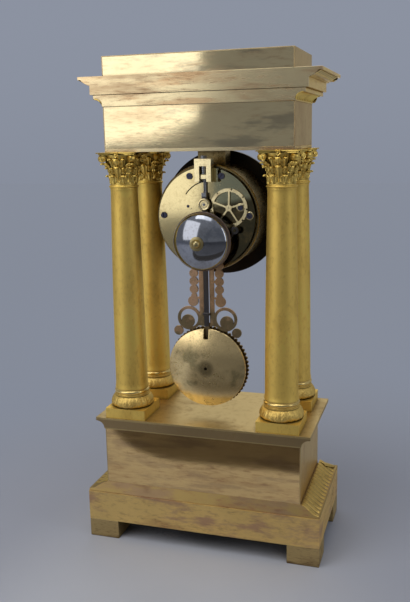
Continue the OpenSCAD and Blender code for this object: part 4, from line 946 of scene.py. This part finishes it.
def acanthus(low, tall, radius, wide, lean, curl):
    """A leaf of the capital on +X, that stands on a round core and rolls over at its tip."""
    bend, roll_over, wall = 0.74, math.radians(205), 1.3

    def point_at(u, v, side):
        lobe = 0.87 + 0.13 * math.cos(TURN * 3 * v + 0.4)
        half = wide * (0.80 + 0.24 * math.sin(math.pi * min(1.0, 1.15 * v))) * lobe
        half *= 1 - 0.62 * max(0.0, (v - 0.5) / 0.5) ** 1.7
        if v < bend:
            out = 0.3 + lean * (v / bend) ** 2.2
            height = low + tall * v / bend
        else:
            roll = roll_over * (v - bend) / (1 - bend)
            out = 0.3 + lean + curl * (1 - math.cos(roll))
            height = low + tall + curl * math.sin(roll)
        rib = 0.42 * math.exp(-(u / 0.16) ** 2)
        pleat = 0.30 * math.cos(3.6 * math.pi * abs(u) - 3.0 * v)
        cup = -0.9 * u * u
        r = radius + out + cup + (rib + pleat if side else -wall)
        angle = u * half / (radius + 1)
        return (r * math.cos(angle), r * math.sin(angle), height)

    return Draft().sheet(point_at, 14, 16)


def scroll(start, bend, centre, radius, turns, first):
    """Points and normals of a stem that ends in a spiral, in a plane."""
    path = []
    stem_steps, steps = 9, int(26 * turns)
    end = (centre[0] + radius * math.cos(first), centre[1] + radius * math.sin(first))
    for i in range(stem_steps):
        t = i / stem_steps
        path.append(tuple(
            (1 - t) ** 2 * a + 2 * t * (1 - t) * b + t * t * c for a, b, c in zip(start, bend, end)
        ))
    for i in range(steps + 1):
        k = i / steps
        r = radius * (1 - 0.8 * k)
        angle = first - TURN * turns * k
        path.append((centre[0] + r * math.cos(angle), centre[1] + r * math.sin(angle)))
    normals = []
    for before, after in zip(path[:1] + path[:-1], path[1:] + path[-1:]):
        run, climb = after[0] - before[0], after[1] - before[1]
        size = math.hypot(run, climb)
        normals.append((-climb / size, run / size))
    return path, normals


def capital_draft():
    """One leaf capital from its foot to its concave slab."""
    bell_h, slab_h, top, slab_half = 27.6, 29.0, 30.0, 20
    volute_r, volute_z = 21.4, 23.8
    core = [(0, 0), (12.6, 0), (12.7, 8), (13.3, 14), (14.5, 18.5), (15.9, 22), (17.2, 25), (17.9, bell_h)]
    eye = [(0, 3.0), (1.0, 2.9), (1.5, 2.5), (2.8, 2.75), (3.0, 2.2)]
    eye += [(radius, -height) for radius, height in reversed(eye)]
    petal = [(0, 1.7), (0.9, 1.5), (1.1, 0.9), (2.3, 1.5), (2.9, 0.7), (2.5, -0.8), (0, -1.0)]
    volute = Draft().lathe(eye, 24)
    flower = Draft().lathe(petal, 40, swell=lambda angle, k: 0.4 * math.cos(5 * angle) if k in (3, 4) else 0)
    rows = (
        (0.5, acanthus(0.2, 7.0, 12.7, 5.3, 1.5, 1.35)),
        (0.0, acanthus(2.0, 13.4, 12.8, 4.9, 2.3, 1.5)),
        (0.5, acanthus(8.0, 6.6, 13.1, 3.4, 2.0, 1.1)),
    )
    corner_leaf = acanthus(9.6, 9.4, 14.2, 4.6, 5.4, 1.5)
    aside_leaf = acanthus(11.5, 11.4, 14.0, 3.6, 3.2, 1.2)
    middle_leaf = acanthus(12.6, 10.0, 14.0, 4.5, 3.4, 1.4)
    path, normals = scroll((14.4, 11.5), (15.2, 25.0), (volute_r, volute_z), 3.1, 1.2, math.radians(115))
    stem = [(r, 0, z) for r, z in path]
    stem_normals = [(a, 0, b) for a, b in normals]
    thick = [1.25 * (1 - 0.45 * k / len(path)) for k in range(len(path))]
    draft = Draft().lathe(core + [(0, bell_h)], 64)
    for i in range(8):
        for offset, one in rows:
            draft.merge(one, turn(TURN * (i + offset) / 8))
    for quarter in range(4):
        corner = turn(TURN * (quarter + 0.5) / 4)
        face = turn(TURN * quarter / 4)
        draft.strip(stem, stem_normals, (0, 1, 0), 2.6, thick, corner)
        draft.merge(volute, corner @ to_front(volute_r, volute_z, 0))
        draft.merge(corner_leaf, corner)
        for side in (-1, 1):
            draft.merge(aside_leaf, face @ turn(side * math.radians(22)))
        draft.merge(middle_leaf, face)
        draft.merge(flower, face @ move(16.6, 0, bell_h) @ turn(math.pi / 2, "Y"))
    draft.prism(abacus_outline(slab_half - 1.8), bell_h - 0.2, slab_h)
    draft.prism(abacus_outline(slab_half), slab_h, top)
    return draft


def abacus_outline(half):
    """A square with hollow sides and cut corners."""
    outline = []
    for quarter in range(4):
        facing = Matrix.Rotation(TURN * quarter / 4, 2)
        for i in range(13):
            t = -1 + 2 * i / 12
            point = facing @ Vector((half - 3.4 * (1 - t * t), t * (half - 2.0)))
            outline.append((point.x, point.y))
    return outline


def rounded_square(half, radius):
    """A square outline with rounded corners."""
    outline = []
    for quarter in range(4):
        middle = TURN * (quarter + 0.5) / 4
        x = math.copysign(half - radius, math.cos(middle))
        y = math.copysign(half - radius, math.sin(middle))
        for i in range(5):
            angle = TURN * (quarter + i / 4) / 4
            outline.append((x + radius * math.cos(angle), y + radius * math.sin(angle)))
    return outline


def leafed_base(low):
    """Leaf torus, fillet and hollow under the shaft."""
    torus = []
    for i in range(25):
        angle = -math.pi / 2 + math.pi * i / 24
        rise = ((math.sin(angle) + 1) / 2) ** 1.5
        torus.append((15.3 + 5.9 * math.cos(angle) ** 0.9 * (1.06 - 0.12 * rise), low + 11.66 * rise))
    upper = [(17.6, 11.6), (17.6, 12.3), (16.7, 12.7), (16.4, 13.4), (16.4, 18.8), (0, 18.8)]
    profile = [(0, low)] + torus + [(radius, low + height) for radius, height in upper]
    leaves = 18

    def swell(angle, k):
        if not 2 < k < 25:
            return 0.0
        v = (k - 1) / 24
        u = (angle * leaves / TURN) % 1 - 0.5
        body = 0.75 * (1 - (2 * abs(u)) ** 2) - 0.35 * math.exp(-(u / 0.06) ** 2)
        vein = 0.20 * math.cos(TURN * 6 * (v + 0.5 * abs(u)))
        return (0.8 * body + vein) * math.sin(math.pi * v) ** 0.6 - 0.45

    return Draft().lathe(profile, 320, swell=swell)


def turned_shaft():
    """A plain shaft with a slight swelling, a flared foot and a beaded neck."""
    low, high = size_of("shaft_z"), size_of("capital_z")
    foot_r, neck_r = size_of("shaft_low"), size_of("shaft_high")
    profile = [(0, low), (foot_r + 0.6, low), (foot_r + 0.6, low + 1.1)]
    for i in range(5):
        profile.append((foot_r + 0.55 * (1 - i / 4) ** 2, low + 1.3 + 1.4 * i))
    steps = 26
    for i in range(1, steps):
        t = i / steps
        r = foot_r + (neck_r - foot_r) * t + 0.5 * math.sin(math.pi * t)
        profile.append((r, low + 7 + (high - low - 15) * t))
    for i in range(5):
        profile.append((neck_r + 0.45 * (i / 4) ** 2, high - 8 + i))
    profile += half_round(neck_r + 0.2, high - 2.4, 1.1, 8)
    profile += [(neck_r + 0.1, high - 1.1), (neck_r + 0.1, high), (0, high)]
    return Draft().lathe(profile, 96)


class CLOCK_OT_base(bpy.types.Operator):
    """Builds the feet, plinth, die and base cap"""

    bl_idname = "clock.base"
    bl_label = "Base"

    def execute(self, context):
        refined("feet", "Worn foot", 0.6)
        refined("plinth", "Plinth gilt", 0.15)
        refined("plinth_moulding", "Sloping gilt", 0.3)
        refined("die_case", "Side plate brass", 0.2)
        refined("die_back_panel", "Die panel brass", 0.12)
        refined("base_cap", "Base cap bronze", 0.35)
        self.leaves()
        return {"FINISHED"}

    def leaves(self):
        """Leaning leaves on the sloping moulding of the sides and the front."""
        finish = "Worn leaf gilt"
        across, deep = SLOPE_START
        slope = []
        for i in range(15):
            t = i / 14
            slope.append((1.2 + 16.9 * t, 59.2 - 7.2 * (1 - math.cos(math.pi * t)) / 2))
        ahead = [(out, height) for out, height in slope if out > 4]
        along_side = (15, (0, depth(-53.5), 0), (0, 7.4, 0))
        along_front = (29, (-97.5, 0, 0), (7.2, 0, 0))
        for side, line, reach, row in (
            ("right", slope, across, along_side),
            ("left", slope, across, along_side),
            ("front", ahead, deep - depth(), along_front),
        ):
            profile = [(reach + out, height) for out, height in line]
            one = Draft().merge(moulded_leaf(profile, 3.3, 1.0, -6.5, 0.4), to_side(side))
            in_row("plinth_leaves_" + side, one, *row, finish)
        corner = [(math.sqrt(2) * out, height) for out, height in ahead if out < 16.5]
        for label, hand in (("plinth_corner_right", 1), ("plinth_corner_left", -1)):
            place = move(across * hand, depth(-deep), 0) @ turn(math.radians(-90 + 45 * hand))
            one = Draft().merge(moulded_leaf(corner, 5.0, 1.9, 0.0, 0.6), place)
            show_draft(label, one, finish, "case")


class CLOCK_OT_columns(bpy.types.Operator):
    """Builds the column bases, shafts and capitals"""

    bl_idname = "clock.columns"
    bl_label = "Columns"

    def execute(self, context):
        foot = size_of("column_z")
        low = foot + 10.4
        block = Draft().prism(rounded_square(21, 0.5), foot, low)
        ring = Draft().lathe(half_round(15.5, low + 15.7, 2.05, 12), 96, True)
        capital = Draft().merge(capital_draft(), move(0, 0, size_of("capital_z")))
        at_columns("column_blocks", block, "Matte gilt", (), 20)
        at_columns("column_bases_leafed", leafed_base(low), "Leafed gilt", ("column_bases",))
        at_columns("column_rings", ring, "Burnished gilt")
        at_columns("column_shafts_turned", turned_shaft(), "Matte gilt", ("column_shafts",))
        at_columns("column_capitals_leafy", capital, "Chased gilt", ("column_capitals",), 50)
        return {"FINISHED"}


def first_leaf(run, side):
    """Where the first leaf of a row under the cornice stands along its side."""
    if side == "front":
        return -run["pitch"] * (run["front"] - 1) / 2
    return depth(ROW_END - run["half"])


class CLOCK_OT_entablature(bpy.types.Operator):
    """Builds the soffit, frieze, mouldings, cornice and attic"""

    bl_idname = "clock.entablature"
    bl_label = "Entablature"

    def execute(self, context):
        refined("soffit_plate", "Stained back brass", 0.25)
        refined("frieze_case", "Side plate brass", 0.2)
        refined("frieze_back_panel", "Back panel brass", 0.12)
        refined("bed_moulding", "Stained back brass", 0.5)
        refined("cornice", "Stained back brass", 0.5)
        refined("attic_case", "Side plate brass", 0.2)
        refined("attic_back_panel", "Back panel brass", 0.12)
        sima = []
        for i in range(13):
            t = i / 20
            sima.append((22.6 - 8.6 * t, 459.0 - 4.4 * (1 - math.cos(math.pi * t)) / 2))
        cove = []
        for i in range(12, -1, -1):
            angle = math.radians(90 * i / 12)
            cove.append((0.7 + 7.0 * (1 - math.cos(angle)), 435.4 + 5.9 * math.sin(angle)))
        self.leaves("cornice_leaves", CORNICE, sima, "Ribbed gilt Y", "Ribbed gilt X")
        self.leaves("bed_tongues", BED, cove, "Chased gilt", "Chased gilt")
        return {"FINISHED"}

    def leaves(self, name, run, line, side_finish, front_finish):
        """Leaf tips along a moulding of the sides and the front."""
        across, deep = FRIEZE_HALF
        pitch = run["pitch"]
        along_side = (run["side"], (0, first_leaf(run, "side"), 0), (0, -pitch, 0), side_finish)
        along_front = (run["front"], (first_leaf(run, "front"), 0, 0), (pitch, 0, 0), front_finish)
        for side, reach, rise, row in (
            ("right", across, SIDE_RISE, along_side),
            ("left", across, SIDE_RISE, along_side),
            ("front", deep - depth(), run["rise"], along_front),
        ):
            profile = [(reach + out, height) for out, height in line]
            one = Draft().merge(moulded_leaf(profile, run["half"], rise, 0.0, 0.3 * rise), to_side(side))
            in_row(name + "_" + side, one, *row)


class CLOCK_OT_drum(bpy.types.Operator):
    """Builds the drum, its dark flange and the hanger"""

    bl_idname = "clock.drum"
    bl_label = "Drum"

    def execute(self, context):
        profile = [
            (49.2, -40), (51, -40), (51, 8.4), (51.5, 9), (51.8, 10.2), (51.6, 11.4), (50.8, 12), (49.4, 12),
            (49.2, 11.6), (49.2, DRUM_LEDGE), (46.2, DRUM_LEDGE), (46.2, -30), (49.2, -30),
        ]
        drum = Draft().lathe(profile, 192, True, to_back(0, size_of("move_z"), depth()))
        show_draft("drum_turned", drum, "Drum brass", "case", ("drum",), 30)
        refined("dial_flange", "Dark bronze", 0.3)
        refined("hanger_bracket", "Drum brass", 0.4)
        return {"FINISHED"}


def slotted(radius, height, shank, sunk):
    """A screw along Z with a slot across its head; its head stands on Z = 0."""
    slot, floor = 0.22 * radius, 0.4 * height
    draft = Draft()
    for side in (-1, 1):
        outline = []
        for i in range(17):
            angle = math.pi * i / 16
            outline.append((radius * math.cos(angle), side * max(slot, radius * math.sin(angle))))
        draft.prism(outline, floor, height)
    return draft.lathe([(0, -sunk), (shank, -sunk), (shank, 0), (radius, 0), (radius, floor), (0, floor)], 32)


class CLOCK_OT_movement(bpy.types.Operator):
    """Finishes the plates, trains, cock and screws"""

    bl_idname = "clock.movement"
    bl_label = "Movement"

    def execute(self, context):
        refined("back_plate", "Back plate brass")
        refined("count_wheel", "Count wheel brass")
        refined("suspension_cock", "Count wheel brass", 0.3)
        refined("bell_stand", "Movement brass", 0.2)
        refined("hammer", "Dark steel", 0.2)
        refined("rating_screw", "Ground steel", 0.15)
        for node in (
            "front_plate", "plate_pillars", "going_barrel", "intermediate_wheel", "centre_wheel",
            "third_wheel", "escape_wheel", "strike_barrel", "strike_second_wheel", "pin_wheel",
            "stop_wheel", "fly", "minute_wheel", "hour_wheel",
        ):
            refined(node, "Movement brass")
        for node in (
            "going_arbor", "strike_arbor", "pallet_anchor", "cannon_pinion", "tie_rods", "tie_rod_nuts",
            "hanger_screws",
        ):
            refined(node, "Ground steel")
        self.screws()
        return {"FINISHED"}

    def screws(self):
        """Slotted blued screws in the places of the plain ones, and two bushes."""
        centre = size_of("move_z")
        back, front = depth(PLATE_BACK), depth(PLATE_FRONT)
        stud = (-34.2, 10.4)
        draft = Draft()
        for i, degrees in enumerate((68.2, 111.8, 3.3, 176.7, 270)):
            x, z = on_circle(PILLAR_CIRCLE, degrees)
            slot = turn(0.7 * i + 0.3)
            draft.merge(slotted(3.0, 1.5, 1.3, 7), to_back(x, centre + z, back) @ slot)
            draft.merge(slotted(2.4, 1.5, 1.3, 7), to_back(x, centre + z, front) @ turn(math.pi, "X") @ slot)
        for degrees in (90, 210, 330):
            x, z = on_circle(LEDGE_CIRCLE, degrees)
            draft.merge(slotted(1.6, 1.5, 0.8, 4), to_back(x, centre + z, depth(DRUM_LEDGE)))
        draft.merge(slotted(1.3, 0.6, 0.8, 4), to_back(18.2, centre + 11.2, back))
        draft.merge(slotted(2.5, 1.2, 1.0, 4), to_back(stud[0], centre + stud[1], back + 0.4))
        show_draft("plate_screws", draft, "Blued steel", "case", ("pillar_screws",), 35)
        ring = [(2.6, 0), (4.0, 0), (4.0, 0.35), (3.6, 0.6), (3.0, 0.6), (2.6, 0.3)]
        bushes = Draft()
        for x, z in (stud, (-43.1, 2.5)):
            bushes.lathe(ring, 48, True, to_back(x, centre + z, back))
        show_draft("plate_bushes", bushes, "Count wheel brass", "case", (), 35)


def bell_profile():
    """The bell's outer dome, shoulder and lip, and its inner dome back to the hole."""
    ball, shoulder, wall, hole = 42.0, 9.0, 1.25, 2.3
    first, last, roll = math.radians(3.2), math.radians(36), math.radians(20)
    hub = BELL_TALL - ball
    outer, inner = [], []
    for i in range(29):
        angle = first + (last - first) * i / 28
        outer.append((ball * math.sin(angle), hub + ball * math.cos(angle)))
        inner.append((max(hole, (ball - wall) * math.sin(angle)), hub + (ball - wall) * math.cos(angle)))
    edge_r, edge_z = outer[-1]
    for i in range(1, 9):
        angle = last + roll * i / 8
        outer.append((edge_r + shoulder * (math.sin(angle) - math.sin(last)),
                      edge_z + shoulder * (math.cos(angle) - math.cos(last))))
    lip = [
        (27.1, 6.0), (27.4, 4.6), (27.6, 3.2), (27.8, 2.0), (28.2, 1.3), (28.6, 0.9), (28.6, 0.4), (28.3, 0),
        (27.0, 0), (26.5, 2.4), (25.9, 5.2), (25.0, 7.4),
    ]
    return outer + lip + inner[::-1]


class CLOCK_OT_bell(bpy.types.Operator):
    """Builds the bell and its nut"""

    bl_idname = "clock.bell"
    bl_label = "Bell"

    def execute(self, context):
        centre = to_back(0, size_of("move_z") - BELL_DROP, depth(BELL_MOUTH))
        bell = Draft().lathe(bell_profile(), 160, True, centre)
        show_draft("bell_turned", bell, "Bell metal", "case", ("bell",), 34)
        profile = [
            (0, 5.8), (1.4, 5.6), (2.8, 4.7), (3.8, 3.2), (4.2, 1.9), (4.3, 1.5), (6.0, 1.4), (6.6, 1.2),
            (6.8, 0.8), (6.7, 0), (0, 0),
        ]
        nut = Draft().lathe([(radius, BELL_TALL + height) for radius, height in profile], 64, False, centre)
        show_draft("bell_nut_turned", nut, "Aged brass", "case", ("bell_nut",), 34)
        return {"FINISHED"}


class CLOCK_OT_pendulum(bpy.types.Operator):
    """Builds the suspension, rod, fret and bob"""

    bl_idname = "clock.pendulum"
    bl_label = "Pendulum"

    def execute(self, context):
        refined("suspension_spring", "Ground steel", 0.05)
        refined("pendulum_rod", "Dark steel", 0.25)
        refined("pendulum_fret", "Fret brass", 0.6)
        refined("pendulum_bob", "Bob brass", 0.3)
        refined("bob_rim", "Bob rim gilt", 0.15)
        middle = size_of("bob_z")
        outer = Draft().merge(leaf(2.4, 11.0, 1.0, 3), to_front(0, 12.6, 0))
        in_ring("bob_leaves", outer, 24, (0, depth(13.6), middle), "pendulum")
        inner = Draft().merge(leaf(1.7, 7.0, 0.9, 2), to_front(0, 1.8, 0))
        in_ring("bob_rosette", inner, 12, (0, depth(11.1), middle), "pendulum")
        self.eye()
        return {"FINISHED"}

    def eye(self):
        """Turned brass collet on the eye of the rod, with a pin's end in its middle."""
        profile = [
            (0, 0.9), (0.9, 0.9), (1.0, 0.35), (2.4, 0.35), (2.7, 0.8), (3.5, 0.8), (3.8, 0.25), (4.5, 0.3),
            (5.0, 0.6), (5.6, 0.4), (5.9, -0.2), (5.9, -0.6), (0, -0.6),
        ]
        collet = Draft().lathe(profile, 64, False, to_back(0, EYE_HEIGHT, depth(EYE_DEPTH)))
        show_draft("eye_collet", collet, "Count wheel brass", "pendulum", (), 34)


def numeral(draft, word, place):
    """A Roman number drawn with thick and thin strokes, its foot towards the centre."""
    wide = {"I": 2.3, "V": 5.4, "X": 5.6}
    tall, thick, thin, serif, margin = 8.6, 0.62, 0.20, 0.12, 0.15
    low, high = 0.02, 0.10
    at = -sum(wide[letter] for letter in word) / 2
    for letter in word:
        end = at + wide[letter]
        middle = at + wide[letter] / 2
        reach = wide[letter] / 2 - 0.9
        left, right = middle - reach, middle + reach
        strokes = {
            "I": [(middle, 0, middle, tall, thick)],
            "V": [(left, tall, middle, 0, thick), (right, tall, middle, 0, thin)],
            "X": [(left, tall, right, 0, thick), (right, tall, left, 0, thin)],
        }
        for x0, y0, x1, y1, half in strokes[letter]:
            outline = [(x0 - half, y0), (x0 + half, y0), (x1 + half, y1), (x1 - half, y1)]
            draft.prism(outline, low, high, place)
        left, right = at + margin, end - margin
        for y in (0, tall):
            outline = [(left, y - serif), (right, y - serif), (right, y + serif), (left, y + serif)]
            draft.prism(outline, low, high, place)
        at = end


class CLOCK_OT_dial(bpy.types.Operator):
    """Builds the dial, hands, bezel and glass"""

    bl_idname = "clock.dial"
    bl_label = "Dial"

    def execute(self, context):
        refined("dial", "White enamel", 0.3)
        refined("hour_hand", "Blued steel", 0.15)
        refined("minute_hand", "Blued steel", 0.15)
        refined("bezel", "Matte gilt", 0.2)
        refined("hinge_pin", "Movement brass", 0.15)
        bead = Draft().lathe([(0, 1.1), (0.6, 1.0), (1.1, 0.6), (1.3, 0), (1.2, -0.6), (0, -0.6)], 12)
        one = Draft().merge(bead, to_front(0, 57.75, 0))
        in_ring("bezel_beads", one, 120, (0, depth(BEAD_SEAT), size_of("move_z")), "door")
        self.marks()
        self.glass()
        return {"FINISHED"}

    def marks(self):
        """Roman numerals, a minute track and rings round the winding holes."""
        face = to_front(0, size_of("move_z"), depth(DIAL_FACE))
        foot, track_in, track_out, low, high = 36.2, 46.4, 48.9, 0.02, 0.09
        draft = Draft()
        words = ("XII", "I", "II", "III", "IIII", "V", "VI", "VII", "VIII", "IX", "X", "XI")
        for hour, word in enumerate(words):
            numeral(draft, word, face @ turn(-TURN * hour / 12) @ move(0, foot, 0))
        for radius, wide in ((track_in, 0.18), (track_out, 0.18), (34.6, 0.12)):
            inside, outside = radius - wide, radius + wide
            draft.lathe([(inside, low), (inside, high), (outside, high), (outside, low)], 180, True, face)
        for minute in range(60):
            half = 0.42 if minute % 5 == 0 else 0.16
            outline = [(-half, track_in), (half, track_in), (half, track_out), (-half, track_out)]
            draft.prism(outline, low, high, face @ turn(-TURN * minute / 60))
        show_draft("dial_marks", draft, "Dial paint", "case", (), 30)
        profile = [(4.5, -1.4), (4.5, 0.35), (4.8, 0.55), (5.3, 0.4), (5.6, 0.0), (5.6, -0.1), (4.5, -0.1)]
        rings = Draft()
        for x in (-21.5, 21.5):
            rings.lathe(profile, 48, True, face @ move(x, -13.4, 0))
        show_draft("winding_rings", rings, "Movement brass", "case", (), 30)

    def glass(self):
        """A thin domed glass seated in the bezel."""
        edge, rise, thick, steps = 51.7, 6.5, 1.5, 32
        ball = (edge * edge + rise * rise) / (2 * rise)
        outer, inner = [], []
        for i in range(steps + 1):
            r = edge * i / steps
            height = GLASS_SEAT - 2 * thick + rise - ball + math.sqrt(ball * ball - r * r)
            outer.append((r, height))
            inner.append((r, height - thick))
        face = to_front(0, size_of("move_z"), depth())
        dome = Draft().lathe(outer + inner[::-1], 128, False, face)
        show_draft("domed_glass", dome, "Clear glass", "door", ("glass",), 40)


class CLOCK_OT_stage(bpy.types.Operator):
    """Builds the floor, light and camera"""

    bl_idname = "clock.stage"
    bl_label = "Stage"

    def execute(self, context):
        stage = context.scene.clock_stage
        warm, cool = (1.0, 0.99, 0.97), (0.95, 0.97, 1.0)
        context.scene.view_settings.view_transform = "Standard"
        self.floor(stage)
        self.world(stage)
        self.softbox("key_softbox", (0.95, 1.163, 0.96), (1.25, 1.34), stage.key, (1.0, 0.985, 0.97), 6.3)
        self.softbox("side_softbox", (-1.25, 0.35, 0.70), (0.25, 0.9), stage.fill, cool)
        self.softbox("top_softbox", (0.1, 0.55, 1.75), (1.1, 0.7), stage.top, warm)
        self.softbox("front_softbox", (0.35, -1.45, 0.85), (1.2, 1.2), stage.front, warm)
        self.camera(stage)
        return {"FINISHED"}

    def floor(self, stage):
        """A pale floor that fades into the backdrop, with a painted shadow where the clock stands close over
        it and painted shade darkening it away from the clock.
        """
        edge, black = 6.0, (0.0, 0.0, 0.0)
        corners = [(-edge, -edge, 0), (edge, -edge, 0), (edge, edge, 0), (-edge, edge, 0)]
        mesh = bpy.data.meshes.new("pale_floor")
        mesh.from_pydata(corners, [], [(0, 1, 2, 3)])
        material, tree, place = new_material("Pale floor")
        rays = new_node(tree, "ShaderNodeLightPath")
        seen = Field(tree, rays.outputs["Is Camera Ray"])
        mirrored = Field(tree, rays.outputs["Is Glossy Ray"])
        x, y, _ = place.parts()
        bend = x - 0.10
        bend = bend.reckon("MAXIMUM", bend, 0.0)
        line = y - bend * bend * 5.4
        beyond = line.ramp(0.249, 0.256) * line.ramp(0.46, 0.40) * mirrored
        distant = line.ramp(0.40, 0.46) * mirrored
        ahead = y - 0.25
        aside = x * 1.6
        away = aside * aside + ahead * ahead
        away = away.reckon("SQRT", away)
        far = away.ramp(0.38, 0.90) * seen
        # Camera rays see the floor darkened away from a spot near the clock: painted shade.
        dim = away.ramp(0.12, 0.40) * seen
        # Painted contact shadow: the floor darkened where ambient occlusion finds the clock close over it.
        close = new_node(tree, "ShaderNodeAmbientOcclusion", {"Distance": 0.16})
        painted_contact_shadow = Field(tree, close.outputs["AO"]).ramp(0.30, 0.15) * 0.8
        dimmed = [part * c for part, c in zip((0.70, 0.71, 0.75), stage.floor)]
        shade = place.noise(9.0).ramp(0.2, 0.9).mix(stage.floor, [0.95 * c for c in stage.floor])
        for mask, tint in (
            (dim, dimmed),
            (painted_contact_shadow, (0.014, 0.014, 0.016)),
            (beyond, (0.11, 0.10, 0.09)),
            (distant, (0.20, 0.20, 0.21)),
            (far, black),
        ):
            shade = mask.mix(shade, tint)
        dress(tree, {
            "Base Color": shade, "Roughness": 0.7, "Specular IOR Level": 0.06,
            "Emission Color": far.mix(black, self.low_backdrop(stage)), "Emission Strength": 1.0,
        })
        mesh.materials.append(material)
        ground = bpy.data.objects.new("pale_floor", mesh)
        bpy.context.scene.collection.objects.link(ground)

    def low_backdrop(self, stage):
        """The backdrop's colour where it meets the floor."""
        return [0.86 * c for c in stage.backdrop]

    def world(self, stage):
        """Grey room, darker low down on the camera's side."""
        world = bpy.data.worlds.new("Studio")
        bpy.context.scene.world = world
        world.use_nodes = True
        tree = world.node_tree
        seen = Field(tree, new_node(tree, "ShaderNodeLightPath").outputs["Is Camera Ray"])
        _, y, z = place_in(tree, "Generated").parts()
        room = z.ramp(-0.02, -0.2).mix((0.21, 0.215, 0.225), (0.12, 0.12, 0.12))
        room = y.ramp(0.2, -0.35).mix(room, (0.30, 0.315, 0.35))
        room = z.ramp(0.35, 0.9).mix(room, (0.34, 0.345, 0.36))
        sky = z.ramp(-0.26, 0.16).mix(self.low_backdrop(stage), stage.backdrop)
        feed(tree, tree.nodes["Background"], {"Color": seen.mix(room, sky)})

    def softbox(self, name, place, size, power, tint, roll=0):
        """A rectangular lamp, unseen by the camera, that looks at the clock."""
        target = Vector((0, 0.03, 0.30))
        lamp = bpy.data.lights.new(name, "AREA")
        lamp.shape = "RECTANGLE"
        lamp.size, lamp.size_y = size
        lamp.energy = power
        lamp.color = tint
        holder = bpy.data.objects.new(name, lamp)
        holder.location = place
        holder.rotation_mode = "QUATERNION"
        spin = Matrix.Rotation(math.radians(roll), 3, "Z").to_quaternion()
        holder.rotation_quaternion = (target - Vector(place)).to_track_quat("-Z", "Y") @ spin
        holder.visible_camera = False
        bpy.context.scene.collection.objects.link(holder)

    def camera(self, stage):
        """The photograph's camera, fitted to the corners of the base and the cornice."""
        yaw, pitch, roll = math.radians(17.62), math.radians(12.01), math.radians(-1.16)
        flat = math.cos(pitch)
        forward = Vector((math.sin(yaw) * flat, -math.cos(yaw) * flat, -math.sin(pitch)))
        level = Vector((-math.cos(yaw), -math.sin(yaw), 0))
        up = level.cross(forward)
        right = math.cos(roll) * level + math.sin(roll) * up
        top = -math.sin(roll) * level + math.cos(roll) * up
        lens = bpy.data.cameras.new("camera")
        lens.lens = stage.lens
        lens.sensor_width = 36
        lens.clip_start = 0.02
        holder = bpy.data.objects.new("camera", lens)
        holder.rotation_mode = "QUATERNION"
        holder.rotation_quaternion = Matrix((right, top, -forward)).transposed().to_quaternion()
        holder.location = (-0.2212, 0.7269, 0.4040)
        bpy.context.scene.collection.objects.link(holder)
        bpy.context.scene.camera = holder


class CLOCK_PT_panel(bpy.types.Panel):
    """Sizes, finishes and steps of the clock"""

    bl_idname = "CLOCK_PT_panel"
    bl_label = "Portico clock"
    bl_space_type = "VIEW_3D"
    bl_region_type = "UI"
    bl_category = "Clock"

    def draw(self, context):
        for group in (context.scene.clock_sizes, context.scene.clock_finish, context.scene.clock_stage):
            box = self.layout.box()
            for name in group.bl_rna.properties.keys():
                if name not in ("rna_type", "name"):
                    box.prop(group, name)
        for step in STEPS:
            self.layout.operator(step.bl_idname)


STEPS = (
    CLOCK_OT_base,
    CLOCK_OT_columns,
    CLOCK_OT_entablature,
    CLOCK_OT_drum,
    CLOCK_OT_movement,
    CLOCK_OT_bell,
    CLOCK_OT_pendulum,
    CLOCK_OT_dial,
    CLOCK_OT_stage,
)
GROUPS = (ClockSizes, ClockFinish, ClockStage)


def register():
    for item in (*GROUPS, *STEPS, CLOCK_PT_panel):
        bpy.utils.register_class(item)
    bpy.types.Scene.clock_sizes = bpy.props.PointerProperty(type=ClockSizes)
    bpy.types.Scene.clock_finish = bpy.props.PointerProperty(type=ClockFinish)
    bpy.types.Scene.clock_stage = bpy.props.PointerProperty(type=ClockStage)


def unregister():
    del bpy.types.Scene.clock_stage
    del bpy.types.Scene.clock_finish
    del bpy.types.Scene.clock_sizes
    for item in (CLOCK_PT_panel, *reversed(STEPS), *reversed(GROUPS)):
        bpy.utils.unregister_class(item)


def main():
    """Builds the clock and its stage."""
    register()
    bpy.ops.clock.base()
    bpy.ops.clock.columns()
    bpy.ops.clock.entablature()
    bpy.ops.clock.drum()
    bpy.ops.clock.movement()
    bpy.ops.clock.bell()
    bpy.ops.clock.pendulum()
    bpy.ops.clock.dial()
    bpy.ops.clock.stage()


if __name__ == "__main__":
    main()
